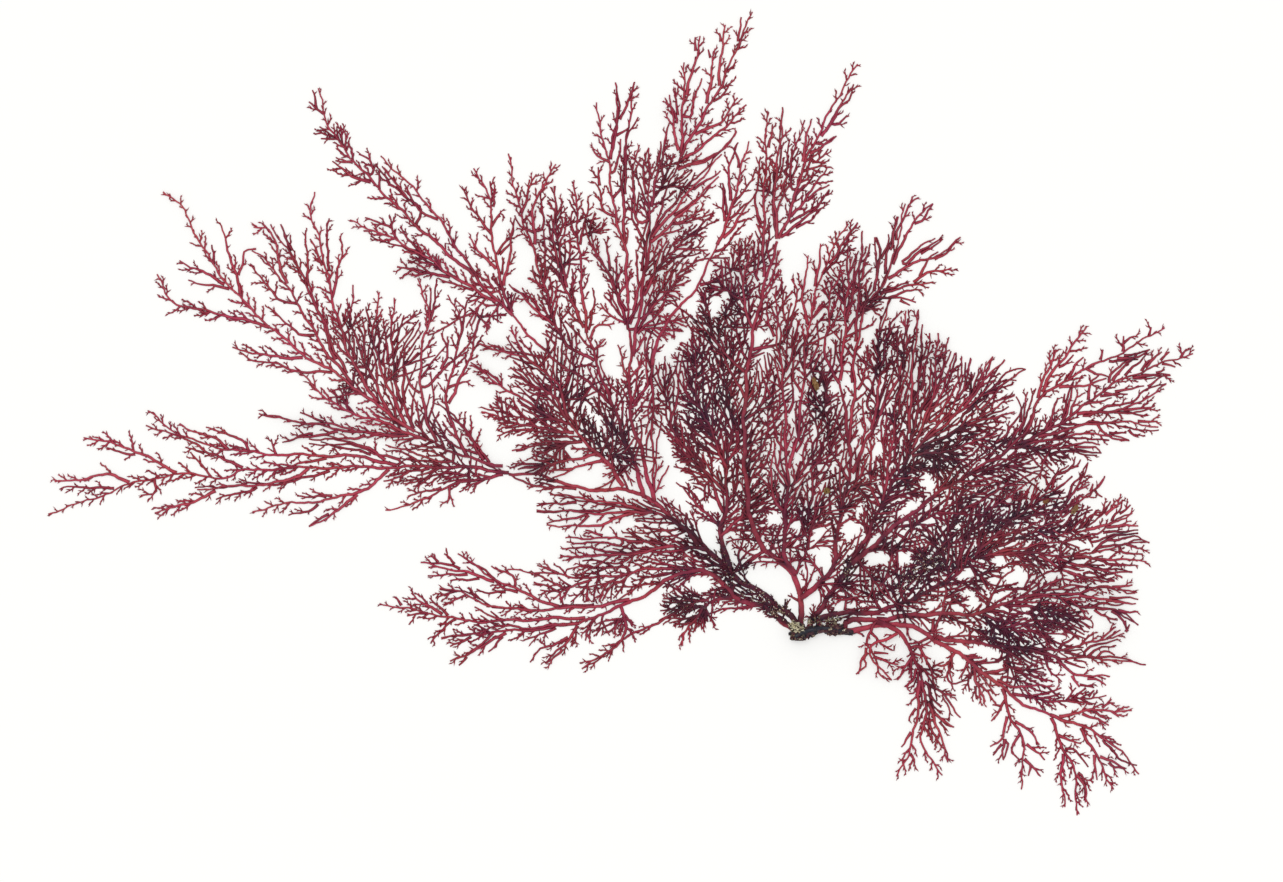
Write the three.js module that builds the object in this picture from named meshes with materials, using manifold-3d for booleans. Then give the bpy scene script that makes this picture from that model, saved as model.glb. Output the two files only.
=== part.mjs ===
// A pressed and dried red seaweed, lying flat: a black knotted holdfast with finely branched fronds
// spread from it. Millimetres, +Z up, origin on the underside of the holdfast, which lies on Z = 0.
import * as THREE from "three";
import { mergeVertices } from "three/addons/utils/BufferGeometryUtils.js";
import Module from "manifold-3d";

const wasm = await Module();
wasm.setup();

// Driving dimensions
const BLADE_THICKNESS = 0.6;
const LAYER_GAP = 0.34; // clear height left between a frond and what it lies on
const DRAPE_SLOPE = 0.15; // the steepest that a frond rises or falls over the ones beneath it
const CONTACT_REACH = 0.8; // round each crossing, a frond stays level this far
const CONTACT_STEP = 0.8;
const STEM_STEP = 4.2; // length of one straight stretch of a bare stem
const STEM_WIDTH = { root: 1.35, tip: 0.9 };
const AXIS_WIDTH = { root: 0.9, tip: 0.5 };
const BRANCHLET_STEP = 2.15; // along the axis, from a branchlet on one side to the next on the other
const BRANCHLET_ANGLE = THREE.MathUtils.degToRad(40); // between a branchlet and the axis ahead of it
const BRANCHLET_LENGTH = 3.0;
const BRANCHLET_LEAST = 1.0;
const BRANCHLET_WIDTH = 0.8; // at its foot
const LENGTH_SPREAD = 0.22; // share by which a branchlet's length varies from the rule
const LINE_CLEAR = 0.85; // branchlets end no nearer than this to the middle of any axis or stem
const BRANCHLET_CLEAR = 0.75; // nor than this to another branchlet
const OWN_REACH = 2.4; // how far a branchlet's own axis may run beside it
const BRANCHLET_MIDDLE = 0.6; // share of its length at which a branchlet's middle is tested for room
const FOOT_SHARE = 0.2; // how far a branchlet's foot reaches along the axis, in steps
const SEED = 20417;
const FROND_FINENESS = 0.05; // details smaller than this are left out of a joined frond
const HOLDFAST_FINENESS = 0.03;
const DECIMALS = 1e4; // corners are rounded to a ten-thousandth
const SAMPLES_PER_MM = 3; // contacts nearer to each other than this count as one

// Routes of the fronds, in millimetres from the holdfast, each from its root to its tip. A stem is bare,
// an axis carries branchlets on both sides. Each route starts on one that stands before it in its frond.
const FRONDS = [
  {
    name: "far_left_frond",
    color: 0x8c3346,
    stems: [
      "-1.8 2.6, -6 6, -12 10, -17 15, -24 21, -28.5 24, -38 24.6, -44 26.7, -50 27",
    ],
    axes: [
      "-48 27, -58 28.2, -70 28.2, -84 28.1, -95 27.6, -98 26.4, -106 27, -114 25.4, -120 23.1, -128.3 20.2",
      "-114 25.4, -117.5 26.9, -122 26.3, -127.2 25.7",
      "-106 27, -109.3 28.7, -114.8 31.5, -122.3 33.2",
      "-84 28, -88 25.8, -96 25, -103 24.4",
      "-98 25, -104.7 22, -110.2 20.4",
      "-68 28.3, -76 30, -90 30.4, -100 31.7, -106.2 33.9, -111.4 37.8",
      "-70 28.2, -73.5 25, -80 22.8, -89 21.8, -93.6 20.6",
      "-75 24.2, -79 20.8, -84 18.1",
      "-51 27, -60 25, -66 22, -71 20.9",
      "-71 29.4, -76 32.3, -84 33",
    ],
  },
  {
    name: "left_upper_frond",
    color: 0x93374a,
    stems: ["-51 28.4, -54 28.9, -60 31, -66 34.3"],
    axes: [
      "-63 32.4, -72 36, -79 38.5, -85.5 44.2",
      "-66 34.3, -72 38.4, -78.5 43.5, -85.5 47.8, -93.5 54.8, -98.3 60, -102 65.5, -105.5 72.2, -108.8 75",
      "-90.5 52.4, -98 54, -107 56.3, -109.8 61",
      "-97 58.5, -101 60.8, -106 63.3",
      "-95.5 57, -97 63, -99.2 69.8",
      "-84 46.8, -90.5 47, -97 48.6",
      "-75.5 41, -81.5 48.5, -86 56.2, -90.5 62.5, -93.7 65",
      "-87 57.5, -89 63, -90.6 68.5, -93.4 69",
      "-79 45, -82.5 55, -86 62.5, -88.8 69.5",
      "-71.5 38, -76.5 46, -79.5 55, -82 66, -83.6 71, -83 75",
      "-69.5 37, -73.5 44, -76.6 52, -76.5 59.2",
      "-67.5 35.5, -71 43, -73 50, -72 58",
      "-66 34.3, -68.8 41, -69.9 49, -69.5 57",
      "-62 32, -64.4 38, -65 47, -63.6 54, -65.5 60.3",
      "-57 30, -60.5 38, -59.4 46, -58 52, -60.4 57.5",
      "-60.3 39, -57 46, -54.4 55",
      "-66 33.8, -74 33.9, -84 35.6, -92.5 37.3",
      "-78 34.5, -84 33.4, -88.5 32.4",
      "-54 28.9, -57 34, -61 38.2",
    ],
  },
  {
    name: "lower_left_frond",
    color: 0x8a3044,
    stems: [
      "-2.7 1.5, -6 4, -10.5 5.6, -13 7.8, -17.5 10.8, -23 9, -28 5.8, -33.5 3.6, -38 1.7",
      "-11.6 6.2, -14 5.9, -16.2 5",
    ],
    axes: [
      "-28 6, -34 4.8, -44 4, -52 4.4, -58 6.8, -61.8 7.6",
      "-36 2.6, -44 2.4, -56 2, -63 3.3, -72 5",
      "-60 2.4, -64 4.8, -66.6 6.8",
      "-38 1.7, -46 0.6, -55 0, -61.5 -1",
      "-50 0.3, -54 -2, -60 -4.8",
      "-38 1.7, -40.5 -1.8, -43.8 -5.2",
      "-31 4.6, -30 0.2, -33 -3, -37.6 -6.1",
      "-41 4.3, -47 6.6, -53 9.6, -58.7 13.5",
      "-51 8.3, -57 10.2, -65 12",
      "-16.2 5, -18 3, -20 0, -20.5 -2.2",
      "-15 5.5, -17.5 5.6, -20.5 4.2",
      "-17.5 10.8, -25 11, -35 9.4, -44 10.2, -50.2 10.8",
    ],
  },
  {
    name: "left_inner_frond",
    color: 0x85303f,
    stems: ["-14.6 12.7, -17.5 14.4, -22 14.8", "-17.5 14.4, -21 18.6, -25.5 20.6"],
    axes: [
      "-22 14.8, -31 13.3, -41.3 13",
      "-22 14.8, -31 16, -40.4 16.2",
      "-25.5 20.6, -34 20.4, -45.3 20.9",
      "-28 20.7, -36 18.2, -43.6 18.4",
      "-25.5 20.6, -34 22.4, -43 23.6",
    ],
  },
  {
    name: "left_fan_frond",
    color: 0x8f3548,
    stems: ["-30.5 24.9, -33.8 29.5, -38 33.5, -40 36"],
    axes: [
      "-35 30.6, -41 29, -48.5 27.8",
      "-37 32.6, -44 32.3, -49.5 31",
      "-38.4 34, -46 35, -54.7 37.6",
      "-39.5 35.2, -46 38.6, -56.5 45.6",
      "-39.6 35.6, -43 40.6, -49 43.6",
      "-39.7 36, -42 42.5, -47 46.5, -55.5 49.2",
      "-33.8 29.5, -38 28.2, -42.6 26.4",
    ],
  },
  {
    name: "upper_left_frond",
    color: 0x92374a,
    stems: ["-27 23, -28 27, -30 32, -33.5 40, -43.5 47.5, -49.3 54"],
    axes: [
      "-49.3 54, -53.5 58, -57.5 63.5, -63.5 72.5, -71.8 81.1",
      "-55 60, -62 66, -68 71.5, -75.5 79.3, -80.5 86, -82.4 92.6",
      "-50 55, -58.5 60, -67 65.6, -77 70.2",
      "-58 60, -63 61.2, -69 62.2",
      "-49.3 54, -52 62, -53 70, -53.6 75, -56 79",
      "-51.8 61.5, -54.5 64.4, -56.8 67.4",
      "-51 58.5, -49.8 65, -49 70.5",
      "-72.5 76.4, -75.6 77.2, -80 80.2",
    ],
  },
  {
    name: "centre_left_frond",
    color: 0x8e3447,
    stems: ["-32.4 38.4, -34.4 44, -36.8 51"],
    axes: [
      "-35 46, -41 50, -43.4 57, -45.8 65, -48.4 73, -50.1 81.5",
      "-45.6 64.5, -45.6 73, -42 79.7",
      "-36.8 51, -37.8 62, -38.9 77",
      "-36.8 51, -40.5 59, -41.6 66, -42.3 76",
      "-41.6 51.6, -46 55.6, -50 59.3",
    ],
  },
  {
    name: "tall_frond",
    color: 0x95394c,
    stems: ["-25.3 22.5, -27.5 31, -29.4 38, -29.3 48, -29.8 56"],
    axes: [
      "-29.8 56, -30.2 65, -32 71.5, -33.3 81.4, -34.6 86, -35.1 90.2",
      "-33 79, -32 85, -31.4 89, -31.9 93.5",
      "-30.2 65, -30.6 75, -30 83, -28.7 93.6",
      "-29.6 52, -27 62, -26.2 71, -26.2 82.4",
      "-26.3 70, -24.7 78, -22.8 86.4",
      "-29.4 50, -32 59, -35.3 65, -36.8 70.4",
      "-29.4 38, -26 43.5, -25.5 50",
    ],
  },
  {
    name: "top_frond",
    color: 0x95394c,
    stems: ["-28.9 47, -27.6 56, -26 66, -23.2 75, -20.8 81"],
    axes: [
      "-20.8 81, -17.5 87, -14.5 92, -11.5 98.8, -8.6 105.6",
      "-20.8 81, -20.4 89, -20.2 97",
      "-20.3 90, -18.6 96, -17.5 101.5",
      "-16.6 88.5, -15.6 95, -14.9 99.4",
      "-14.2 92.5, -14 98, -13.2 103.4",
      "-18.8 84.5, -14 87, -11.1 91",
      "-21.3 80, -15.5 84, -9.6 89.8",
      "-21.8 78.6, -14.5 81.4, -11.3 85.2",
      "-20.9 81, -22 86, -22.7 91.5",
      "-25.7 67.2, -20.5 73.6, -13.8 81.4",
      "-25.9 66.4, -20.5 71.3, -14.3 77.6",
      "-27.6 56.5, -23.4 63.5, -17.2 69.4",
      "-28.2 52.5, -23.5 57.5, -19.4 63.6",
    ],
  },
  {
    name: "inner_left_frond",
    color: 0x7c2b3c,
    stems: ["-12.4 11, -14 16.5, -13 22, -13 28"],
    axes: [
      "-13 28, -15 33, -18 40, -18.3 48",
      "-13.3 20, -17 28, -22 34.5, -23.5 46",
      "-13.6 18, -18.5 22.5, -21.6 25.6",
      "-13.2 24, -19 29.6, -24.4 36",
      "-13 28, -12 36, -13.4 42, -13 50",
      "-14 16.5, -10.4 20, -9 26, -10.6 31",
    ],
  },
  {
    name: "slender_frond",
    color: 0x93374a,
    stems: ["-25.6 45.5, -24 51.5, -18 59, -14.6 66"],
    axes: [
      "-14.6 66, -12.3 71.5, -11 77, -9.2 83.6",
      "-12.2 72, -12.6 78, -11.2 83.2",
      "-13.2 69, -13.6 76.4",
      "-14.6 66, -11.6 69.4, -8.2 74.6",
      "-18 59, -13.6 60.5, -10.4 63.4",
    ],
  },
  {
    name: "middle_frond",
    color: 0x8f3548,
    stems: [
      "-0.5 2.4, -0.4 6.2, -1.3 9.3, -4.5 12.7, -8 16.4, -9.6 25, -10 36, -9.2 46.5, -7.8 54, -6 61, -4.4 66.6",
    ],
    axes: [
      "-6.6 59, -6.7 70, -6.3 82, -6.1 88.8",
      "-4.4 66, -4.8 76, -3.9 83, -3.4 89.2",
      "-4.4 66.6, -2 72, 0 79, 3 85.5, 6 91.3, 9.3 96.7",
      "1.4 82, 5.5 88, 8.6 93.2",
      "1.2 81.4, 5.4 84.4",
      "-0.4 77.6, 0.4 83, 1.4 87",
      "-2.8 70, 1.2 74.8, 4.2 79.3",
      "-4.2 67, 1 71, 4.5 75.4",
      "-9 48, -3.6 49.6, -1 56.6, -2 60.2",
      "-10 36, -6.6 39.8, -5.3 47",
      "-9.6 44, -15 49.5, -18.2 54",
      "-9.9 40, -13 46, -15.4 50",
      "-9.8 28, -6 33.5, -6.4 39",
      "-8.4 51, -10.2 57, -9.2 65",
    ],
  },
  {
    name: "centre_frond",
    color: 0x933749,
    stems: ["-1.2 10, -2.8 12.2, -3.2 17, -2.6 24, -2.9 30"],
    axes: [
      "-2.9 30, -3.1 38, -3.8 46, -4.4 50, -4.5 59",
      "-2.6 27, -0.9 34, 0 42, 0.6 50, 2 57, 4.4 64, 7.7 69.6",
      "0.8 52, 0 58, 0.9 64.2",
      "1.4 55, 2.4 61, 3 66.2",
      "3.4 61, 6 65, 9.3 69.7",
      "-2.7 24, 0.4 28, 2.4 33, 2.2 38",
      "-2.9 20, -5.4 24, -5 31",
    ],
  },
  {
    name: "right_centre_frond",
    color: 0x8b3245,
    stems: [
      "-0.4 6, 2.6 8.1, 5.3 12, 6 18.5, 7.5 25, 8.2 30",
      "8.2 29, 7.4 36, 6.2 42.4",
      "6.9 24, 10 31, 13 37",
    ],
    axes: [
      "8.3 32.5, 8.7 40, 8.7 46, 10.5 55, 14 60, 15.7 65, 17.4 73",
      "14.6 61.3, 16.6 65.5, 18.4 69.4, 22.1 73",
      "14 60, 18.5 62.6, 23.5 64.6, 26.7 67.2",
      "17 62, 20.4 65.4, 23.7 67",
      "12 57.6, 17.5 58.8, 22.2 59.7",
      "17.5 58.8, 21 61, 25.3 62.1",
      "11.6 56.6, 15 57.2, 19.2 56.2",
      "12 57.6, 12.6 63, 12.2 67.3",
      "14 60, 14.4 65, 16 70.8",
      "6.2 42.4, 3.8 47, 4.4 54, 4.8 60",
      "6.2 42.4, 7 50, 7.4 58, 8.4 64",
      "8.7 47, 9.4 56, 10 68.2",
      "13 37, 17 46, 17.5 54.8",
      "11.5 34, 13 42, 13 50, 14.7 56.8",
      "7.4 26, 4.8 31, 4.2 37",
    ],
  },
  {
    name: "right_upper_frond",
    color: 0x822e40,
    stems: ["1.5 2.3, 4 5.6, 6.8 9.6, 10.6 16, 14 23, 18 30"],
    axes: [
      "18 30, 19.6 40, 20.3 52.4",
      "18 30, 18.4 42, 19.5 54.8",
      "18 30, 22 40, 22.9 51",
      "19 32, 24 42, 25.8 47.6",
      "18 30, 25 38, 28.6 46.6",
      "19.4 31.4, 27 38.4, 32.3 47",
      "24 36, 31 40.6, 37.8 44.8",
      "27 38, 30.6 42.6, 34.3 46.4",
      "19.8 31.4, 28 35.6, 36 40.4",
      "26 34.6, 31 36.4, 36 37.6",
      "18 30, 26 31.4, 33 34",
      "13.4 22, 15 31, 15.6 38",
    ],
  },
  {
    name: "upper_right_frond",
    color: 0x8e3447,
    stems: ["8.2 11.6, 15.5 18, 22 23, 28 27, 34 30.4"],
    axes: [
      "34 30.4, 38 34.4, 40 39.4, 45 43.2, 50 45.8, 54.4 47.8, 58.5 50.2, 61.5 51.9",
      "40 39.6, 42.6 44.6, 45.8 48.7, 48.2 52",
      "39.4 38, 41 43.4, 43.1 48.2",
      "45 43.2, 46.5 45.6, 47.7 46.9",
      "54.4 47.8, 54.5 50.5",
      "52.4 46.8, 55.8 46.6, 58.8 48.1",
      "43 41.8, 47 42, 51.6 43.3",
      "36 32, 42 34.6, 47 38, 52 41.9, 56.5 44, 61.5 46, 66.3 47.5",
      "52 42, 54.5 45.4, 57.3 47.8",
      "57.5 44.4, 60.6 47.6",
      "56 43.7, 62.4 43.9",
      "48.5 39.6, 49 42.4, 50.3 43.8",
      "46 37.2, 51 37.6, 56 38.6, 61.7 42.3",
      "53 37.6, 59.8 38.6",
      "50.6 40.8, 54.8 40.6",
      "38 32.8, 46 34.9, 53 35.9, 60.4 35",
      "36 31.6, 44 33.2, 50 33.9, 55.4 32.8",
      "35.4 31, 43 31.4, 50.6 30.6",
      "41 34, 42.6 38, 43.4 40",
      "43.8 36, 45.5 39.6, 46 42.7",
      "34 30.4, 37 35.4, 38.2 41",
      "28 27, 33 28.3, 40 28.2",
    ],
  },
  {
    name: "right_frond",
    color: 0x8a3145,
    stems: ["2.9 2.7, 6.4 3.3, 10 3.4, 14 4, 19 6, 24.4 8.8, 29 12.6"],
    axes: [
      "29 12.6, 35 15.6, 41 17.2, 47 17.5, 50.5 20, 52.3 22.3",
      "47 17.5, 51.5 18.2, 56 20.4",
      "51 19.8, 54.3 22.6",
      "50.6 18, 57 18.2",
      "29 12.6, 36 13.8, 42 13.2, 48.5 13.4, 54 15, 58.9 15.4",
      "49 13.6, 53 16.6, 57 16.9",
      "46 12.9, 52 12.6, 58.4 12.1",
      "42 13.2, 49 10.9, 56 10.3",
      "40 13.2, 47 9.6, 53 8.8",
      "27.5 11.3, 33 17, 39 21.8, 45.8 26.6",
      "36 19.4, 43 20.6, 48.6 23.4, 51.3 26.5",
      "43 20.6, 46 23.6, 48.4 28.8",
      "39 21.8, 41.6 24.6, 43.6 28.2",
      "26 10, 28.6 17.6, 34 22.6, 39.7 26.4",
      "25 9.2, 24 14, 26 20.4, 31 25",
    ],
  },
  {
    name: "right_lower_frond",
    color: 0x8c3346,
    stems: ["7.7 2, 14 2.3, 20 3.2, 30 3.4, 36 5.8, 42 6.6"],
    axes: [
      "42 6.6, 47.3 6.8, 51 7.8, 56.8 6.9",
      "52 7.7, 56 8.2",
      "45.5 6.8, 51 5.6, 56.6 5",
      "42 6.6, 48 4.4, 53 3.8, 57 1.4",
      "51 4, 57 3.6",
      "34 4.8, 42 3.8, 49.2 0.9",
      "30 3.4, 36 1.6, 46 0.6",
      "52.4 3.8, 54.4 2.2, 55.3 0.3",
      "31 3.4, 33 8.4, 36 10.8",
      "38 6.4, 43 8.8, 47.6 8.8",
    ],
  },
  {
    name: "lower_right_frond",
    color: 0x933749,
    stems: [
      "9.4 0.4, 12 1.2, 15 1.6, 19 0.8, 22 -0.8, 28.5 -5, 33.5 -9, 37.5 -12, 42 -13.9",
      "21 -0.3, 28 -1.6, 36 -2.3",
    ],
    axes: [
      "42 -13.9, 46.5 -15.5, 51 -17.7, 55 -21.2, 57.1 -24",
      "42 -13.9, 44 -19, 46.2 -24, 46.6 -31",
      "44.3 -20, 44 -25, 44.5 -29.6",
      "46 -23.2, 47.8 -26, 48 -28.8",
      "47 -15.7, 49.4 -20, 52.8 -26.6",
      "49.5 -20.2, 50 -25",
      "50 -20.8, 54.8 -23",
      "43.4 -17.4, 47.3 -18.8",
      "35 -10.2, 41 -11.4, 46 -11.4, 51.6 -10.6",
      "43.5 -14.2, 49 -13.2, 55.9 -13.2",
      "47 -13.5, 52 -15.7",
      "33.9 -9.4, 35 -13.5, 37.4 -18.8, 37.1 -26.6",
      "34.9 -13.2, 34 -17.6, 31.8 -19.3",
      "34.4 -17, 34 -21.4",
      "37.2 -18.2, 41.1 -21.6",
      "37.6 -21.4, 40.4 -24.4",
      "36 -15, 38.8 -17, 40.2 -19",
      "29 -5.4, 29.6 -8.4, 31 -11.7",
      "32 -7.7, 36 -9, 42.8 -9",
      "30.8 -6.8, 36 -6, 41.4 -7",
      "36 -2.3, 44 -4.2, 50 -4.2, 58 -5.4",
      "39 -3, 46 -2.4, 54.6 0",
      "42 -3.7, 46 -6.8, 52.2 -7.4",
      "45 -6, 47 -9.2",
      "25.6 -3.6, 24.6 -6, 25.4 -8.4",
    ],
  },
  {
    name: "lower_middle_frond",
    color: 0x8a3145,
    stems: ["12.6 2, 15.4 0.6, 18 -2, 20.2 -8"],
    axes: [
      "20.2 -8, 20.9 -14, 20.2 -19, 23.7 -24.2",
      "19.9 -7, 19.5 -13, 18.2 -19.6, 15.9 -24.4",
      "19 -16, 16.7 -19.4",
      "20.5 -10, 22.4 -14.5, 24.6 -21.8",
      "20.2 -8, 23.7 -10.4, 26.8 -14.4",
      "22 -13.4, 25.6 -16",
      "18.6 -4, 16 -8",
      "16 0, 11.6 -2.4, 12.4 -5.4, 15 -7.9",
      "11.6 -2.4, 10.2 -4.4, 9.4 -7",
      "11.9 -4, 16.2 -5.3",
    ],
  },
];

// Random numbers from 0 to 1, the same row of them for the same seed.
function randomFrom(seed) {
  let state = seed;
  return () => {
    state = (state + 0x6d2b79f5) | 0;
    let mixed = Math.imul(state ^ (state >>> 15), 1 | state);
    mixed = (mixed + Math.imul(mixed ^ (mixed >>> 7), 61 | mixed)) ^ mixed;
    return ((mixed ^ (mixed >>> 14)) >>> 0) / 4294967296;
  };
}

// The points of a route written as "x y, x y".
function pointsOf(route) {
  return route.split(",").map((pair) => {
    const [x, y] = pair.trim().split(" ").map(Number);
    return new THREE.Vector2(x, y);
  });
}

// The point of the rows of stations in `tree` that lies nearest to `point`.
function nearestOn(tree, point) {
  let best = point;
  let least = Infinity;
  for (const row of tree) {
    for (let i = 1; i < row.length; i++) {
      const along = row[i].clone().sub(row[i - 1]);
      const offset = point.clone().sub(row[i - 1]);
      const share = THREE.MathUtils.clamp(offset.dot(along) / along.lengthSq(), 0, 1);
      const foot = row[i - 1].clone().addScaledVector(along, share);
      const distance = foot.distanceTo(point);
      if (distance < least) {
        least = distance;
        best = foot;
      }
    }
  }
  return best;
}

// Evenly spaced stations along a smooth curve through the route, about `step` apart.
function stationsOf(points, step) {
  const curve = new THREE.SplineCurve(points);
  const count = Math.max(3, Math.round(curve.getLength() / step));
  return curve.getSpacedPoints(count);
}

function headingAt(stations, i) {
  const before = stations[Math.max(0, i - 1)];
  const after = stations[Math.min(stations.length - 1, i + 1)];
  return after.clone().sub(before).normalize();
}

function leftOf(heading) {
  return new THREE.Vector2(-heading.y, heading.x);
}

function widthAt(width, share) {
  return THREE.MathUtils.lerp(width.root, width.tip, share);
}

// A flat closed blade between Z = 0 and the blade thickness. `faces` are triangles of `outline` points
// and inner points, anticlockwise from above, and `border` is the outline's order round them.
function flatBlade(points, faces, border) {
  const count = points.length;
  const positions = [];
  const index = [];
  for (const z of [BLADE_THICKNESS, 0]) {
    for (const point of points) {
      positions.push(point.x, point.y, z);
    }
  }
  for (const [a, b, c] of faces) {
    index.push(a, b, c, c + count, b + count, a + count);
  }
  for (let i = 0; i < border.length; i++) {
    const a = border[i];
    const b = border[(i + 1) % border.length];
    index.push(b, a, a + count, b, a + count, b + count);
  }
  return new wasm.Manifold(
    new wasm.Mesh({
      numProp: 3,
      vertProperties: new Float32Array(positions),
      triVerts: new Uint32Array(index),
    }),
  );
}

// A bare stem: a tapered ribbon along its stations.
function stemBlade(stations) {
  const last = stations.length - 1;
  const points = [];
  const faces = [];
  stations.forEach((station, i) => {
    const side = leftOf(headingAt(stations, i)).multiplyScalar(widthAt(STEM_WIDTH, i / last) / 2);
    points.push(station.clone().add(side), station.clone().sub(side));
  });
  for (let i = 0; i < last; i++) {
    const left = 2 * i;
    faces.push([left, left + 1, left + 3], [left, left + 3, left + 2]);
  }
  const border = [];
  for (let i = 0; i <= last; i++) {
    border.push(2 * i + 1);
  }
  for (let i = last; i >= 0; i--) {
    border.push(2 * i);
  }
  return flatBlade(points, faces, border);
}

// A branchlet's length as a share of the longest, `share` of the way along its axis: short at both ends.
function lengthShare(share) {
  const fromRoot = 0.5 + 2 * share;
  const fromTip = 0.34 + 1.5 * (1 - share);
  return Math.min(1, fromRoot, fromTip);
}

// The triangles between two chains of points that run the same way, `left` on the left of `right`.
function facesBetween(left, right) {
  const faces = [];
  let i = 0;
  let k = 0;
  while (i < left.length - 1 || k < right.length - 1) {
    const leftIsNext = k === right.length - 1 || (i < left.length - 1 && left[i + 1].at < right[k + 1].at);
    if (leftIsNext) {
      faces.push([left[i].id, right[k].id, left[i + 1].id]);
      i++;
    } else {
      faces.push([left[i].id, right[k].id, right[k + 1].id]);
      k++;
    }
  }
  return faces;
}

// An axis with slender branchlets on either side in turn, wherever `taken` leaves room for one.
function branchedBlade(stations, random, taken) {
  const last = stations.length - 1;
  const points = [];
  const faces = [];
  const sides = { left: { sign: 1, chain: [], rim: [] }, right: { sign: -1, chain: [], rim: [] } };
  const addTo = (side, point, at) => {
    const id = points.push(point) - 1;
    side.chain.push({ id, at });
    side.rim.push(id);
    return id;
  };
  for (let i = 0; i < last; i++) {
    const heading = headingAt(stations, i);
    const side = i % 2 ? sides.right : sides.left;
    const outward = leftOf(heading).multiplyScalar((side.sign * widthAt(AXIS_WIDTH, i / last)) / 2);
    const foot = stations[i].clone().add(outward);
    if (i === 0) {
      addTo(sides.left, foot, 0);
      addTo(sides.right, stations[0].clone().sub(outward), 0);
      continue;
    }
    const spread = 1 + LENGTH_SPREAD * (2 * random() - 1);
    const length = BRANCHLET_LENGTH * lengthShare(i / last) * spread;
    const lean = heading.clone().rotateAround(new THREE.Vector2(), side.sign * BRANCHLET_ANGLE);
    const end = foot.clone().addScaledVector(lean, length);
    const middle = foot.clone().lerp(end, BRANCHLET_MIDDLE);
    if (length < BRANCHLET_LEAST || !taken.hasRoom(end, middle, stations[i])) {
      addTo(side, foot, i);
      continue;
    }
    taken.points.push(end, middle);
    const before = addTo(side, foot.clone().addScaledVector(heading, -BRANCHLET_WIDTH / 2), i - FOOT_SHARE);
    const tip = points.push(end) - 1;
    side.rim.push(tip);
    const after = addTo(side, foot.clone().addScaledVector(heading, BRANCHLET_WIDTH / 2), i + FOOT_SHARE);
    faces.push(side.sign > 0 ? [after, tip, before] : [before, tip, after]);
  }
  const tip = points.push(stations[last].clone()) - 1;
  const end = { id: tip, at: last };
  faces.push(...facesBetween([...sides.left.chain, end], [...sides.right.chain, end]).filter(isFace));
  return flatBlade(points, faces, [...sides.right.rim, tip, ...sides.left.rim.reverse()]);
}

function isFace([a, b, c]) {
  return a !== b && b !== c && a !== c;
}

// What is already taken in a frond: the middle lines of all its routes and the branchlets placed so far.
function takenBy(tree) {
  const lines = tree.flatMap((stations) => {
    return new THREE.SplineCurve(stations).getSpacedPoints(2 * stations.length);
  });
  const points = [];
  const hasRoom = (end, middle, root) => {
    const nearLine = lines.some((point) => {
      const own = point.distanceTo(root) < OWN_REACH;
      return point.distanceTo(end) < LINE_CLEAR || (!own && point.distanceTo(middle) < LINE_CLEAR);
    });
    return !nearLine && !points.some((point) => point.distanceTo(end) < BRANCHLET_CLEAR);
  };
  return { points, hasRoom };
}

// The blades of one frond, joined flat.
function flatFrond(frond, random) {
  const tree = [];
  const rowOf = (route, step) => {
    const points = pointsOf(route);
    if (tree.length) {
      points[0] = nearestOn(tree, points[0]);
    }
    const stations = stationsOf(points, step);
    tree.push(stations);
    return stations;
  };
  const stems = frond.stems.map((route) => rowOf(route, STEM_STEP));
  const axes = frond.axes.map((route) => rowOf(route, BRANCHLET_STEP));
  const taken = takenBy(tree);
  const blades = [...stems.map(stemBlade), ...axes.map((stations) => branchedBlade(stations, random, taken))];
  return blades.reduce((sum, blade) => sum.add(blade)).asOriginal().simplify(FROND_FINENESS);
}

// The corners of a solid's triangles in plan, with points between them no further apart than `step`.
function planPoints(solid, step) {
  const { vertProperties, triVerts, numProp } = solid.getMesh();
  const seen = new Map();
  const corner = (id) => new THREE.Vector2(vertProperties[id * numProp], vertProperties[id * numProp + 1]);
  for (let i = 0; i < triVerts.length; i += 3) {
    for (let k = 0; k < 3; k++) {
      const a = corner(triVerts[i + k]);
      const b = corner(triVerts[i + ((k + 1) % 3)]);
      const pieces = Math.max(1, Math.ceil(a.distanceTo(b) / step));
      for (let n = 0; n < pieces; n++) {
        const point = a.clone().lerp(b, n / pieces);
        seen.set(`${Math.round(point.x * SAMPLES_PER_MM)} ${Math.round(point.y * SAMPLES_PER_MM)}`, point);
      }
    }
  }
  return [...seen.values()];
}

// Fronds are laid one after another. Each rests on the highest of what it crosses and comes down from
// there to the floor no steeper than the drape slope.
const laid = [];

function restHeight(contacts, x, y) {
  let height = 0;
  for (const contact of contacts) {
    const away = Math.hypot(contact.x - x, contact.y - y);
    height = Math.max(height, contact.height - DRAPE_SLOPE * Math.max(0, away - CONTACT_REACH));
  }
  return height;
}

function layDown(flat) {
  const contacts = [];
  for (const lower of laid) {
    for (const { x, y } of planPoints(flat.intersect(lower.flat), CONTACT_STEP)) {
      const top = restHeight(lower.contacts, x, y) + BLADE_THICKNESS;
      contacts.push({ x, y, height: top + LAYER_GAP });
    }
  }
  laid.push({ flat, contacts });
  const mesh = flat.getMesh();
  const positions = [];
  for (let i = 0; i < mesh.numVert; i++) {
    const [x, y, z] = mesh.vertProperties.subarray(i * mesh.numProp, i * mesh.numProp + 3);
    positions.push(x, y, z + restHeight(contacts, x, y));
  }
  return { positions: positions.map(rounded), index: [...mesh.triVerts] };
}

function rounded(value) {
  return Math.round(value * DECIMALS) / DECIMALS;
}

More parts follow.
